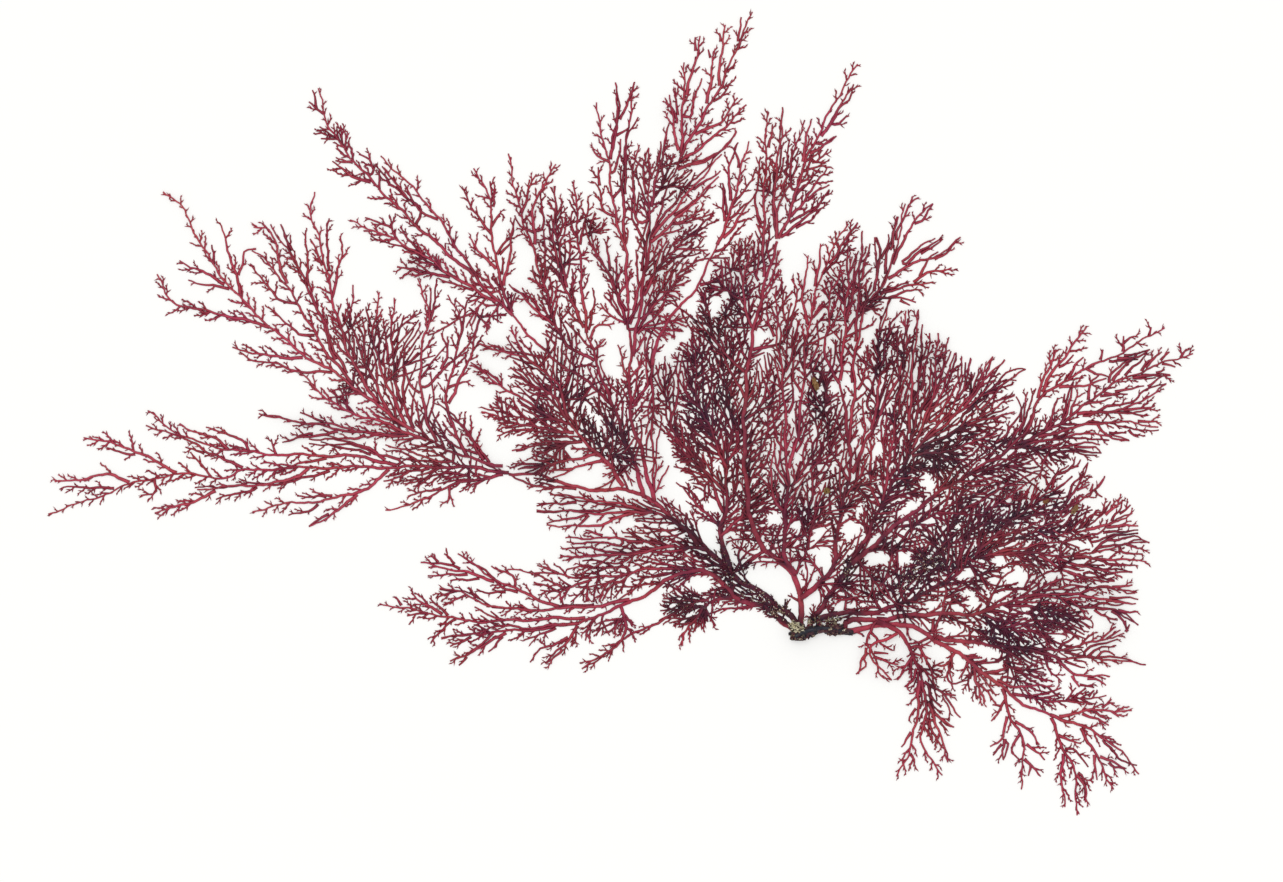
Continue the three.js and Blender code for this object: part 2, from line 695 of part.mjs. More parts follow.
function geometryFrom({ positions, index }) {
  const geometry = new THREE.BufferGeometry();
  geometry.setAttribute("position", new THREE.Float32BufferAttribute(positions, 3));
  geometry.setIndex(index);
  geometry.computeVertexNormals();
  return geometry;
}

function frondMesh(frond, random) {
  const material = new THREE.MeshStandardMaterial({ color: frond.color, roughness: 0.7, metalness: 0 });
  const mesh = new THREE.Mesh(geometryFrom(layDown(flatFrond(frond, random))), material);
  mesh.name = frond.name;
  return mesh;
}

// The holdfast: gnarled lobes in two knots with a root stub along +X, cut flat underneath.
const HOLDFAST_LOBES = [
  { at: [-0.6, -0.2, 0.9], size: [1.7, 1.1, 1.7], turn: 0.15 },
  { at: [-0.9, 0.9, 0.7], size: [1.35, 0.95, 1.4], turn: -0.2 },
  { at: [1.2, 0.3, 0.7], size: [1.8, 0.9, 1.5], turn: 0.35 },
  { at: [3.1, 0.7, 0.5], size: [1.6, 0.7, 1.1], turn: 0.1 },
  { at: [5.2, 0.7, 0.5], size: [1.7, 1.0, 1.2], turn: 0.05 },
  { at: [7.2, 0.3, 0.3], size: [1.8, 0.6, 0.9], turn: -0.1 },
];
const LOBE_ROUGHNESS = 0.13;
const LOBE_WAVES = [5, 4.3, 6]; // how often the surface swells along X, Y and Z
const LOBE_DETAIL = 1;
const PHASE_STEP = 1.7; // sets each lobe's swellings apart from the last one's

function solidOf(geometry) {
  const bare = geometry.clone();
  bare.deleteAttribute("normal");
  bare.deleteAttribute("uv");
  const merged = mergeVertices(bare);
  return new wasm.Manifold(
    new wasm.Mesh({
      numProp: 3,
      vertProperties: merged.attributes.position.array,
      triVerts: new Uint32Array(merged.index.array),
    }),
  );
}

// How far the surface swells at `point` of a unit ball, about -2 to 2.
function waveAt(point, phase) {
  const [alongX, alongY, alongZ] = LOBE_WAVES;
  const sideways = Math.sin(alongX * point.x + phase) * Math.cos(alongY * point.y - phase);
  return sideways + Math.sin(alongZ * point.z + 2 * phase);
}

function lobe({ at, size, turn }, phase) {
  const geometry = new THREE.IcosahedronGeometry(1, LOBE_DETAIL);
  const place = geometry.getAttribute("position");
  const point = new THREE.Vector3();
  for (let i = 0; i < place.count; i++) {
    point.fromBufferAttribute(place, i);
    point.multiplyScalar(1 + LOBE_ROUGHNESS * waveAt(point, phase));
    place.setXYZ(i, point.x, point.y, point.z);
  }
  geometry.scale(...size);
  geometry.rotateZ(turn);
  geometry.translate(...at);
  return solidOf(geometry);
}

function holdfastMesh() {
  const lobes = HOLDFAST_LOBES.map((entry, i) => lobe(entry, PHASE_STEP * i));
  const knot = lobes.reduce((sum, piece) => sum.add(piece));
  const standing = knot.trimByPlane([0, 0, 1], 0).asOriginal().simplify(HOLDFAST_FINENESS);
  const mesh = standing.getMesh();
  const positions = [...mesh.vertProperties].map(rounded);
  const material = new THREE.MeshStandardMaterial({ color: 0x1d1720, roughness: 0.85, metalness: 0 });
  const holdfast = new THREE.Mesh(geometryFrom({ positions, index: [...mesh.triVerts] }), material);
  holdfast.name = "holdfast";
  return holdfast;
}

const seaweed = new THREE.Group();
const random = randomFrom(SEED);
seaweed.add(holdfastMesh());
FRONDS.forEach((frond) => seaweed.add(frondMesh(frond, random)));

export default seaweed;
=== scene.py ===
"""Looks of a pressed red seaweed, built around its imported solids. Metres, +Z up, in the solids' own frame."""

import math

import bmesh
import bpy
import numpy as np
from bpy.props import FloatProperty, FloatVectorProperty, IntProperty, PointerProperty
from mathutils import Matrix, Vector, kdtree, noise


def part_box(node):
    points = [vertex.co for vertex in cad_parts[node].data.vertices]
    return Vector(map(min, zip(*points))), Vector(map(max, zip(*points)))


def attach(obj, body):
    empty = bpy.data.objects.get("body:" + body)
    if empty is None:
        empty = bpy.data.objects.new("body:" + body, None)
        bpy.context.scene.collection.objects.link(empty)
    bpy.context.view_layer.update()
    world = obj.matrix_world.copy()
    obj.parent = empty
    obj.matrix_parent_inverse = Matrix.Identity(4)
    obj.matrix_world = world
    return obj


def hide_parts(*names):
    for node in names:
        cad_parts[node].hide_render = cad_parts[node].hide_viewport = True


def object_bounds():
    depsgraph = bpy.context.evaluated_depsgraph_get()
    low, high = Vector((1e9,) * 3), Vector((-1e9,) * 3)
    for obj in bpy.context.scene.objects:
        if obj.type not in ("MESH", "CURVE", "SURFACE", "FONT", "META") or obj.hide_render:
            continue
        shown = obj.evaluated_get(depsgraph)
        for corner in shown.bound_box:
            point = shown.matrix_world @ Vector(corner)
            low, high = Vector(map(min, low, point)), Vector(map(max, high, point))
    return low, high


bl_info = {
    "name": "Pressed Red Seaweed",
    "version": (1, 0, 0),
    "blender": (4, 5, 0),
    "location": "3D View > Sidebar > Seaweed",
    "description": "Fine fronds, gnarled holdfast, crust and stage for a pressed red seaweed",
    "category": "Add Mesh",
}

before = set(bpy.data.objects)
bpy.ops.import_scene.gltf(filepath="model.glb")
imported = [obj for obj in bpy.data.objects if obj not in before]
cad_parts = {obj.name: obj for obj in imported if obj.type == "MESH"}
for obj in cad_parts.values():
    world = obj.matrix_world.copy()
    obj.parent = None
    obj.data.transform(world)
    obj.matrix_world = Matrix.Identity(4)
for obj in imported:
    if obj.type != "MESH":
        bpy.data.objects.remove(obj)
CAD_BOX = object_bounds()

MM = 0.001

# Routes in millimetres from the holdfast, each from its root to its tip. Stems are bare, axes carry
# long twigs on both sides, and sprays are finer axes with shorter twigs. A route starts on an earlier one.
FROND_ROUTES = {
    "far_left_frond": {
        "stems": """
        -1.8 2.6, -6 6, -12 10, -17 15, -24 21, -28.5 24, -38 24.6, -44 26.7, -50 27
        """,
        "axes": """
        -48 27, -58 28.2, -70 28.2, -84 28.1, -95 27.6, -98 26.4, -106 27, -114 25.4, -120 23.1, -128.3
        20.2; -114 25.4, -117.5 26.9, -122 26.3, -127.2 25.7; -106 27, -109.3 28.7, -114.8 31.5, -122.3
        33.2; -84 28, -88 25.8, -96 25, -103 24.4; -98 25, -104.7 22, -110.2 20.4; -68 28.3, -76 30, -90
        30.4, -100 31.7, -106.2 33.9, -111.4 37.8; -70 28.2, -73.5 25, -80 22.8, -89 21.8, -93.6 20.6; -75
        24.2, -79 20.8, -84 18.1; -51 27, -60 25, -66 22, -71 20.9; -71 29.4, -76 32.3, -84 33
        """,
        "sprays": """
        -38 24.5, -43 24.8, -48 25.8, -51 27.5, -54 28.7; -117.3 26.6, -118.8 27.2, -120.6 27.2; -116.6
        24.6, -120 24.6, -124 25, -126.4 24.4; -110.2 25.5, -110.2 24.1, -112.6 23.4; -113.5 30.4, -115
        30.4, -116.9 30.9, -118.4 31.5; -79 28, -84 26.6, -87.8 25.5, -93.3 25.4, -96.4 25, -103.4 24.7; -92
        25.4, -94 24, -97 23.8, -99.8 22.7; -95.2 28.1, -97.6 29, -99.5 30.2, -101.3 30.9, -103.1 32.1,
        -105.6 33, -108 34.2, -111.7 35.3; -94 30.6, -95 32.3, -96.8 33.6, -99.5 34.3, -101.5 35; -97.6
        31.6, -99.4 32.7, -103.1 34.1, -106 35.6; -98.5 29.5, -102 30.6, -105 31.6; -80 30, -84 29, -88
        28.2, -90 27.5; -89.4 30.7, -90.4 33; -68.5 29.3, -72 30.3, -75 31.6, -79 32, -84 32.2; -72 30, -76
        31, -82 32.5; -80 30, -86 30.2; -77 23, -79 21, -81.5 19.8, -84 18.1; -79 22.8, -82 23.3, -86 23.3;
        -82 22.2, -84 20.8, -87.5 20; -78.5 23, -83.5 24; -60 25, -60.5 22; -60 25.1, -63 24.3, -67.2 23.2;
        -57 26.8, -62 27, -66 26, -69.5 25.5; -62 28.3, -66 27.5, -71 26.6; -106 27, -109.5 26.2, -112 25.7
        """,
    },
    "left_upper_frond": {
        "stems": """
        -51 28.4, -54 28.9, -60 31, -66 34.3
        """,
        "axes": """
        -63 32.4, -72 36, -79 38.5, -85.5 44.2; -66 34.3, -72 38.4, -78.5 43.5, -85.5 47.8, -93.5 54.8,
        -98.3 60, -102 65.5, -105.5 72.2, -108.8 75; -90.5 52.4, -98 54, -107 56.3, -109.8 61; -97 58.5,
        -101 60.8, -106 63.3; -95.5 57, -97 63, -99.2 69.8; -84 46.8, -90.5 47, -97 48.6; -75.5 41, -81.5
        48.5, -86 56.2, -90.5 62.5, -93.7 65; -87 57.5, -89 63, -90.6 68.5, -93.4 69; -79 45, -82.5 55, -86
        62.5, -88.8 69.5; -71.5 38, -76.5 46, -79.5 55, -82 66, -83.6 71, -83 75; -69.5 37, -73.5 44, -76.6
        52, -76.5 59.2; -67.5 35.5, -71 43, -73 50, -72 58; -66 34.3, -68.8 41, -69.9 49, -69.5 57; -62 32,
        -64.4 38, -65 47, -63.6 54, -65.5 60.3; -57 30, -60.5 38, -59.4 46, -58 52, -60.4 57.5; -60.3 39,
        -57 46, -54.4 55; -66 33.8, -74 33.9, -84 35.6, -92.5 37.3; -78 34.5, -84 33.4, -88.5 32.4; -54
        28.9, -57 34, -61 38.2
        """,
        "sprays": """
        -99 54.3, -102 54.5, -105.5 56; -97.5 58.5, -100.5 59, -104.5 60; -96 60.8, -95.5 62.5, -94.8 64.8,
        -93 65.2; -100.5 62.3, -100.5 66; -80 44.3, -84 44.4, -87 44.8, -90 45.8, -93 46.3, -95.8 47.8; -83
        50.6, -85.5 50.6, -87 52, -88.5 53.5, -91 55.5; -86 56, -88.5 56.5, -90.5 58.5, -92.5 60.5, -94
        62.8; -84 58.5, -84.3 62, -84.5 68.5; -85 61, -87.5 66.5, -88.8 69.5; -76 41.5, -78 45, -80 49,
        -81.5 53, -83.5 57.5, -85 61, -87 64, -89 67, -90.5 69.5; -80.3 59.5, -81 66, -80.5 70.5; -79.5 57,
        -78.5 64, -78.7 67.5; -81.5 62, -83.8 67; -76 47, -78 50.5, -79 53.5, -78.5 56; -73 50, -74.3 55.5;
        -70.5 46, -71.3 53.5; -70 48, -67.8 54; -67 35, -67.8 40, -68 44, -67.5 48, -65 52.5; -63 53, -62.5
        57, -62.2 60; -64.7 40.5, -67 42.5, -68 46; -60 41.5, -56.5 43; -64 42, -61.5 44.5, -58.5 47, -56.5
        50, -55 53, -54.3 55; -61.5 44.8, -60.5 48, -61.5 51; -58 49, -57 56, -55.5 58; -53 28.6, -54.5
        30.5, -56.8 33.8, -59 36.3, -61 38.2, -63 39.3; -54.3 30.2, -57 31, -60 32.5, -63 34; -60 29, -66
        30.5, -71 32; -66 33.6, -70 33.6, -74 34, -79 35.2, -84 35.8, -87 36, -90 36.7, -92.5 37.3; -78.5
        35, -81 34, -84 33.8, -88 32.5; -80 35.3, -85.5 37.5; -74 34, -76 33, -81 33.6
        """,
    },
    "lower_left_frond": {
        "stems": """
        -2.7 1.5, -6 4, -10.5 5.6, -13 7.8, -17.5 10.8, -23 9, -28 5.8, -33.5 3.6, -38 1.7; -11.6 6.2, -14
        5.9, -16.2 5
        """,
        "axes": """
        -28 6, -34 4.8, -44 4, -52 4.4, -58 6.8, -61.8 7.6; -36 2.6, -44 2.4, -56 2, -63 3.3, -72 5; -60
        2.4, -64 4.8, -66.6 6.8; -38 1.7, -46 0.6, -55 0, -61.5 -1; -50 0.3, -54 -2, -60 -4.8; -38 1.7,
        -40.5 -1.8, -43.8 -5.2; -31 4.6, -30 0.2, -33 -3, -37.6 -6.1; -41 4.3, -47 6.6, -53 9.6, -58.7 13.5;
        -51 8.3, -57 10.2, -65 12; -16.2 5, -18 3, -20 0, -20.5 -2.2; -15 5.5, -17.5 5.6, -20.5 4.2; -17.5
        10.8, -25 11, -35 9.4, -44 10.2, -50.2 10.8
        """,
        "sprays": """
        -2 0.8, -3.3 2.5, -5 3.3; -7.5 4.2, -10.5 4.5, -13 4, -15 3.5, -17 3; -9 5, -11 6, -13 6.3, -16 5.3;
        -17 4.5, -18.5 4.6, -20 3.4; -17 4, -18.2 2.6, -18.8 1; -16.5 3.6, -17.4 2, -17.2 0.6; -33.5 4.6,
        -36 4.9, -40 4.5, -44 4, -48 4, -52 4.4, -55 5.8, -58 7, -61.8 7.4; -62 3, -64 4.8, -66.6 6.8; -60
        2.6, -63.5 6; -64 3, -67.3 2.9; -68 4.2, -69.5 3.3; -68 4.3, -69.3 6.2; -59 2.4, -61 1, -62.5 -0.5,
        -63.3 -1.8; -40 1, -43 1.2, -46 0.8, -49 1.2, -52 1, -55 0.3, -58 -0.5, -61.5 -0.8; -52 0.8, -54
        -1.5, -56.5 -3.2, -60 -4.8; -56.5 -3.3, -58.5 -5.5; -50 0.5, -53.5 -3.2; -55 0, -60 -2.3; -38.5 1.5,
        -39.5 -0.5, -40.5 -2, -41.5 -3.7, -43.8 -5.2; -39.5 -0.5, -42 -1.7, -44.5 -2.8, -46.4 -5; -42 0.9,
        -44 -0.2, -47.5 -1.2; -24 2, -28 0.5, -31 -1.5, -33.5 -3.5, -37.6 -6.1; -42.5 4.5, -44.5 5.6, -47
        6.4, -49 7.2, -51.5 8, -53 9.5, -54.5 11, -58.7 13.5; -51.5 8, -54 9, -56.5 10, -58.5 11, -61 11.9,
        -65 12; -57 10, -60 9.8, -63.8 9.7; -58.5 11, -61 13.5; -62 12, -63.3 13.3; -49 7.3, -49 9, -49.8
        10, -53 11.4; -49 7.1, -53.5 6.8, -55.5 7.5; -55 9.3, -60 8.9; -41.5 9.5, -45.2 11.5; -35 9.5, -38
        8.3, -40.5 7.2, -42.5 5.7; -30 11, -34 11.2, -37 11.3, -40 10.8
        """,
    },
    "left_inner_frond": {
        "stems": """
        -14.6 12.7, -17.5 14.4, -22 14.8; -17.5 14.4, -21 18.6, -25.5 20.6
        """,
        "axes": """
        -22 14.8, -31 13.3, -41.3 13; -22 14.8, -31 16, -40.4 16.2; -25.5 20.6, -34 20.4, -45.3 20.9; -28
        20.7, -36 18.2, -43.6 18.4; -25.5 20.6, -34 22.4, -43 23.6
        """,
        "sprays": """
        -17.5 14.5, -22 14, -27 13.8, -31 13.5, -34 13.2, -38 13, -41.3 13.3; -30 14, -38 14.5, -41 14.3;
        -31 15, -35 15.3, -40.2 15.5; -30 15.7, -33 16.3, -37 17.5; -25 21, -28 21, -31 21.7, -34 21.7, -37
        22.5, -43 23.5; -30 21.8, -34 21, -38 20.7, -45.3 20.6; -36 22.3, -40 22.2, -45.3 21.6; -34 20.3,
        -38 19.9, -43.6 18.6; -36 19.5, -39 17.1
        """,
    },
    "left_fan_frond": {
        "stems": """
        -30.5 24.9, -33.8 29.5, -38 33.5, -40 36
        """,
        "axes": """
        -35 30.6, -41 29, -48.5 27.8; -37 32.6, -44 32.3, -49.5 31; -38.4 34, -46 35, -54.7 37.6; -39.5
        35.2, -46 38.6, -56.5 45.6; -39.6 35.6, -43 40.6, -49 43.6; -39.7 36, -42 42.5, -47 46.5, -55.5
        49.2; -33.8 29.5, -38 28.2, -42.6 26.4
        """,
        "sprays": """
        -40 34, -44 34.5, -48 34.5, -52 33.5; -38 35, -42 36, -46 36.5, -50 37, -54.7 38.4; -39 33, -42 32,
        -45 31.8, -48.8 30.9; -40 31.5, -43 29.5, -46 28.5, -48.5 27.8; -40 33, -43 31, -47 29.5; -38.5 35,
        -41 38, -44 40.5, -47 42, -49 43; -40 40, -43 43, -46 45, -48 44.8; -44 46.5, -47 47.3, -50 48, -53
        48.2, -55.5 49.2; -46 38.5, -49 40.5, -51 42, -53 44, -56.5 46; -39.5 28.4, -41.5 27.6, -43.4 27.6;
        -40.6 28, -42.2 26.2, -43.6 25.6
        """,
    },
    "upper_left_frond": {
        "stems": """
        -27 23, -28 27, -30 32, -33.5 40, -43.5 47.5, -49.3 54
        """,
        "axes": """
        -49.3 54, -53.5 58, -57.5 63.5, -63.5 72.5, -71.8 81.1; -55 60, -62 66, -68 71.5, -75.5 79.3, -80.5
        86, -82.4 92.6; -50 55, -58.5 60, -67 65.6, -77 70.2; -58 60, -63 61.2, -69 62.2; -49.3 54, -52 62,
        -53 70, -53.6 75, -56 79; -51.8 61.5, -54.5 64.4, -56.8 67.4; -51 58.5, -49.8 65, -49 70.5; -72.5
        76.4, -75.6 77.2, -80 80.2
        """,
        "sprays": """
        -65.5 70, -65 72, -66.5 73.5, -68.5 75, -72 77.5; -62 70.3, -64.5 71.5, -67.3 74; -76 80, -79.5
        80.3; -82 88, -84 90.3; -82.3 89.5, -83.4 92.3; -73 78.5, -73.5 80.5, -75.5 81.4; -58 60.5, -61
        61.3, -64 63.5, -67 65, -70.5 66.3, -73.5 67.5; -62 61, -65 61, -69 62.3; -64.5 64, -66.5 66.5,
        -68.5 69; -55 58, -58 58.8, -62 60.3; -52.5 68, -54.5 69.5, -56 72, -57.7 75.5; -53 71, -52.5 73.5,
        -53.2 76.8; -52.5 69, -51.5 71.5, -50.7 70.5; -52 64.3, -51 66, -49.5 68, -49 70.5; -52.5 62, -54.5
        64, -56.5 67; -52 64, -49.3 66.5; -51.5 59, -50.8 63.8; -52.5 58.5, -57 62
        """,
    },
    "centre_left_frond": {
        "stems": """
        -32.4 38.4, -34.4 44, -36.8 51
        """,
        "axes": """
        -35 46, -41 50, -43.4 57, -45.8 65, -48.4 73, -50.1 81.5; -45.6 64.5, -45.6 73, -42 79.7; -36.8 51,
        -37.8 62, -38.9 77; -36.8 51, -40.5 59, -41.6 66, -42.3 76; -41.6 51.6, -46 55.6, -50 59.3
        """,
        "sprays": """
        -47.3 71.5, -47 74, -46.3 76, -45.3 78; -46 68, -48 69, -49 71; -41.5 62, -42.3 66, -42.3 70, -42.1
        76; -44.3 69, -44.5 75.5; -37.9 66, -37 70, -36.5 74.3; -37.2 51.8, -38.3 54.5, -39.7 57, -40.5 60,
        -41 63, -41.3 66, -40.5 69, -40.3 71.5; -36.5 51.5, -35.8 54.5, -35.2 56.5, -35.8 58.7; -42.5 52.5,
        -44.5 54.5, -46 56.5, -48.5 58, -50 59.3; -36.2 50, -35 52, -32 52.6
        """,
    },
    "tall_frond": {
        "stems": """
        -25.3 22.5, -27.5 31, -29.4 38, -29.3 48, -29.8 56
        """,
        "axes": """
        -29.8 56, -30.2 65, -32 71.5, -33.3 81.4, -34.6 86, -35.1 90.2; -33 79, -32 85, -31.4 89, -31.9
        93.5; -30.2 65, -30.6 75, -30 83, -28.7 93.6; -29.6 52, -27 62, -26.2 71, -26.2 82.4; -26.3 70,
        -24.7 78, -22.8 86.4; -29.4 50, -32 59, -35.3 65, -36.8 70.4; -29.4 38, -26 43.5, -25.5 50
        """,
        "sprays": """
        -33.5 80, -35 81, -35.8 82.3; -32.8 82.5, -32.2 84.3, -31.9 86.5, -31.2 89, -31.2 90.5, -31.5 92.3,
        -31.9 93.6; -31.9 86, -31 87.5, -30.2 89, -29.8 90.5, -28.6 93.7; -32.2 84.3, -29.5 86; -32.8 71,
        -33.8 72, -34.3 74, -35 76, -36 76.8; -34.5 75, -34.8 79.2; -30.3 67, -30.2 73, -30.2 78, -30.4 81,
        -29.8 84, -29 86, -28 87.7; -32.3 74, -31 76, -30.8 79.5; -33 77.8, -31.8 79, -31 84; -28 70, -28.8
        74, -29 77, -28.5 80, -27.8 83; -30 42, -30.8 47, -31.5 49; -28 58, -27 64, -26.3 68, -26 71; -26.3
        72, -26.8 75.5, -27.3 78, -26.2 82.5; -25.3 75, -24.7 79, -24.2 83.6; -24 76, -23.8 80, -23.3 85,
        -22.8 86.5; -27.5 66, -28.7 70, -29 73.5, -28.7 77; -29.5 53.8, -31 56.5, -32 59, -34 62.5, -35.3
        65, -36.5 67.5, -37.2 70; -32.5 60, -33 63, -33.2 67.5; -31.5 58.5, -31.8 64
        """,
    },
    "top_frond": {
        "stems": """
        -28.9 47, -27.6 56, -26 66, -23.2 75, -20.8 81
        """,
        "axes": """
        -20.8 81, -17.5 87, -14.5 92, -11.5 98.8, -8.6 105.6; -20.8 81, -20.4 89, -20.2 97; -20.3 90, -18.6
        96, -17.5 101.5; -16.6 88.5, -15.6 95, -14.9 99.4; -14.2 92.5, -14 98, -13.2 103.4; -18.8 84.5, -14
        87, -11.1 91; -21.3 80, -15.5 84, -9.6 89.8; -21.8 78.6, -14.5 81.4, -11.3 85.2; -20.9 81, -22 86,
        -22.7 91.5; -25.7 67.2, -20.5 73.6, -13.8 81.4; -25.9 66.4, -20.5 71.3, -14.3 77.6; -27.6 56.5,
        -23.4 63.5, -17.2 69.4; -28.2 52.5, -23.5 57.5, -19.4 63.6
        """,
        "sprays": """
        -20.2 90, -19.2 93, -18.7 95.5, -18 97.5, -17.8 99.5, -17.5 101.6; -18.8 95, -17.5 96.3; -18.2 98,
        -18.3 101.3; -16.3 89.5, -16 92, -15.6 94.5, -15.5 97, -16.1 99.2; -15.7 94, -14.8 98.8; -14.3 93.5,
        -14.2 96, -13.9 100, -14.2 102; -14 99, -12.9 103.6; -15.3 90.4, -13.5 91.3, -12.5 93.3; -13.3 95,
        -11.5 96.6; -11 99.5, -11 102, -10.5 104.7; -10.8 99, -9.3 103; -19.5 81.5, -17.5 82, -15.5 84,
        -13.5 85.5, -12 87.5, -9.4 90.1; -19 79, -17 80.5, -14.5 81.8, -12.5 83, -11.3 85.4; -21.5 82, -21.7
        85, -21.5 87.5, -22.7 91; -21.3 88, -21.7 92.7; -21.3 84, -22.5 86.5; -19 88, -18.3 91, -17.2 94.3;
        -26.5 67.5, -24.5 69.6, -22 73, -20 75.5, -18 77.5, -13.8 82; -21 73.5, -18.5 75.5, -14 78.6; -22
        71, -19.5 72.5, -15.7 76; -21 69.5, -18.5 71, -16.8 73; -29.8 52, -28 56, -26 60, -24 63, -22 66,
        -18 69.5; -29 51, -26 55, -24 58.5, -22 61.5, -17 67; -28.5 50.5, -25.5 53.5, -23.5 56.5, -19.5 62.5
        """,
    },
    "inner_left_frond": {
        "stems": """
        -12.4 11, -14 16.5, -13 22, -13 28
        """,
        "axes": """
        -13 28, -15 33, -18 40, -18.3 48; -13.3 20, -17 28, -22 34.5, -23.5 46; -13.6 18, -18.5 22.5, -21.6
        25.6; -13.2 24, -19 29.6, -24.4 36; -13 28, -12 36, -13.4 42, -13 50; -14 16.5, -10.4 20, -9 26,
        -10.6 31
        """,
        "sprays": """
        -12 10, -13.5 13, -14 16.5, -13 20.5, -13 25, -13.3 29, -15 33, -17 37, -18.5 41, -18.8 45, -18 48;
        -10.5 11, -10.8 13, -10.3 16, -9.8 19; -16 26, -17 29, -19 31.5, -21 33.5, -22.5 35, -23.5 40, -23.5
        47; -22 36, -21.5 40, -20.5 47; -18 28, -20 30, -23 33; -17 25, -18.5 27, -22 28.3; -18 22, -19 24,
        -21 25; -15 33, -13.6 37, -13 41, -12.4 45; -16 35, -16.4 39, -15.6 43, -15.8 47.4; -13.2 28, -11.4
        32, -10.8 36, -11.8 40; -18 38, -20 41, -20.6 44.6; -17.6 30, -18.6 34, -20.4 38; -12.6 33, -14.4
        36.4, -14.8 40, -14.4 44; -17 41, -17.2 45, -16.6 49; -13.4 42, -11.8 46, -11.8 50.4
        """,
    },
    "slender_frond": {
        "stems": """
        -25.6 45.5, -24 51.5, -18 59, -14.6 66
        """,
        "axes": """
        -14.6 66, -12.3 71.5, -11 77, -9.2 83.6; -12.2 72, -12.6 78, -11.2 83.2; -13.2 69, -13.6 76.4; -14.6
        66, -11.6 69.4, -8.2 74.6; -18 59, -13.6 60.5, -10.4 63.4
        """,
        "sprays": """
        -25.5 26.5, -25 29.5, -24.7 32, -24 37; -25 24, -22.8 28.5; -11 77, -11 80, -11.7 82, -11 83.4; -13
        68, -13 72, -13.7 76.5; -12.2 70, -8.8 73.5; -11.6 72.5, -10 75, -8 79; -15.5 65, -13 65.8, -9.8 70
        """,
    },
    "middle_frond": {
        "stems": """
        -0.5 2.4, -0.4 6.2, -1.3 9.3, -4.5 12.7, -8 16.4, -9.6 25, -10 36, -9.2 46.5, -7.8 54, -6 61, -4.4
        66.6
        """,
        "axes": """
        -6.6 59, -6.7 70, -6.3 82, -6.1 88.8; -4.4 66, -4.8 76, -3.9 83, -3.4 89.2; -4.4 66.6, -2 72, 0 79,
        3 85.5, 6 91.3, 9.3 96.7; 1.4 82, 5.5 88, 8.6 93.2; 1.2 81.4, 5.4 84.4; -0.4 77.6, 0.4 83, 1.4 87;
        -2.8 70, 1.2 74.8, 4.2 79.3; -4.2 67, 1 71, 4.5 75.4; -9 48, -3.6 49.6, -1 56.6, -2 60.2; -10 36,
        -6.6 39.8, -5.3 47; -9.6 44, -15 49.5, -18.2 54; -9.9 40, -13 46, -15.4 50; -9.8 28, -6 33.5, -6.4
        39; -8.4 51, -10.2 57, -9.2 65
        """,
        "sprays": """
        -10.5 10.8, -8.7 12.8, -6.5 14, -3 14.4, 0 14.3, 1.5 14.7, 3 16, 5 18; -9 47, -7 48.5, -5 50; -6.3
        80, -5.2 86.5; -5 68, -5.2 72, -4.8 76, -4 80, -3.8 84, -3.5 89.4; -7.3 70, -8 74, -7.2 81; -2.2 76,
        -1.5 82, 0.3 87.2; -3 78, -2.2 84; 4 86.5, 5.5 88, 6.5 89.5, 7.8 91, 8.6 93.3; 4.3 86.7, 6 86.5, 7.5
        88; 1.8 83.3, 3.8 83.2, 5.7 84.5; 1.2 81.3, 2 79.8, 4.3 82.3; 0 78.5, 4 79.5; -1 74, 1.5 77.5, 3
        78.5; -1.5 72, 2.5 75, 4.5 76.2; -2.7 69.5, 1.5 72, 4.4 75.3; -3 68, 1 70, 2.5 71.8; 0.3 79, 0.7 85;
        -5.5 40, -6.5 43, -7.5 46; -0.7 5.5, -1.7 6, -2.6 6.4; -9.3 21, -11.4 24, -12 28; -9.6 26, -7.6 30,
        -7 34.6; -10 33, -12 37, -12.6 41; -9.9 38, -7.8 41, -7.6 44.6; -9.3 46, -11.2 50, -11.6 54; -8.6
        50, -7 55, -7.4 59.6; -6.8 58, -8.4 62, -8.2 66.6
        """,
    },
    "centre_frond": {
        "stems": """
        -1.2 10, -2.8 12.2, -3.2 17, -2.6 24, -2.9 30
        """,
        "axes": """
        -2.9 30, -3.1 38, -3.8 46, -4.4 50, -4.5 59; -2.6 27, -0.9 34, 0 42, 0.6 50, 2 57, 4.4 64, 7.7 69.6;
        0.8 52, 0 58, 0.9 64.2; 1.4 55, 2.4 61, 3 66.2; 3.4 61, 6 65, 9.3 69.7; -2.7 24, 0.4 28, 2.4 33, 2.2
        38; -2.9 20, -5.4 24, -5 31
        """,
        "sprays": """
        -2.8 12.2, -4.6 12.8, -6 13.9; -2.8 12.2, -3.1 13.2, -3.5 14.4; -0.3 56, 0 59, 0.9 64.3; 2 57, 2.7
        62, 3 66.3; 3.8 61, 5.5 63, 6.5 65, 9.3 69.8; -1.2 9.5, -0.5 11.5, 0.3 13, 0.5 14, 0.8 17, 0.8 20;
        0.8 20, 1.6 25, 1.6 30, 1 35; -2.8 30, -4.6 34, -5.6 38.6; -3.1 36, -1.6 40, -2 45; -3.6 43, -2 47,
        -1.6 52; -4.3 49, -6 53, -5.8 57; 0 40, -1.6 44, -1.4 49; 0.2 44, 2.2 48, 2.6 53; -2.2 29, -0.6 32,
        1.2 36.6; -2.6 25, -4.4 28.6, -5 33
        """,
    },
    "right_centre_frond": {
        "stems": """
        -0.4 6, 2.6 8.1, 5.3 12, 6 18.5, 7.5 25, 8.2 30; 8.2 29, 7.4 36, 6.2 42.4; 6.9 24, 10 31, 13 37
        """,
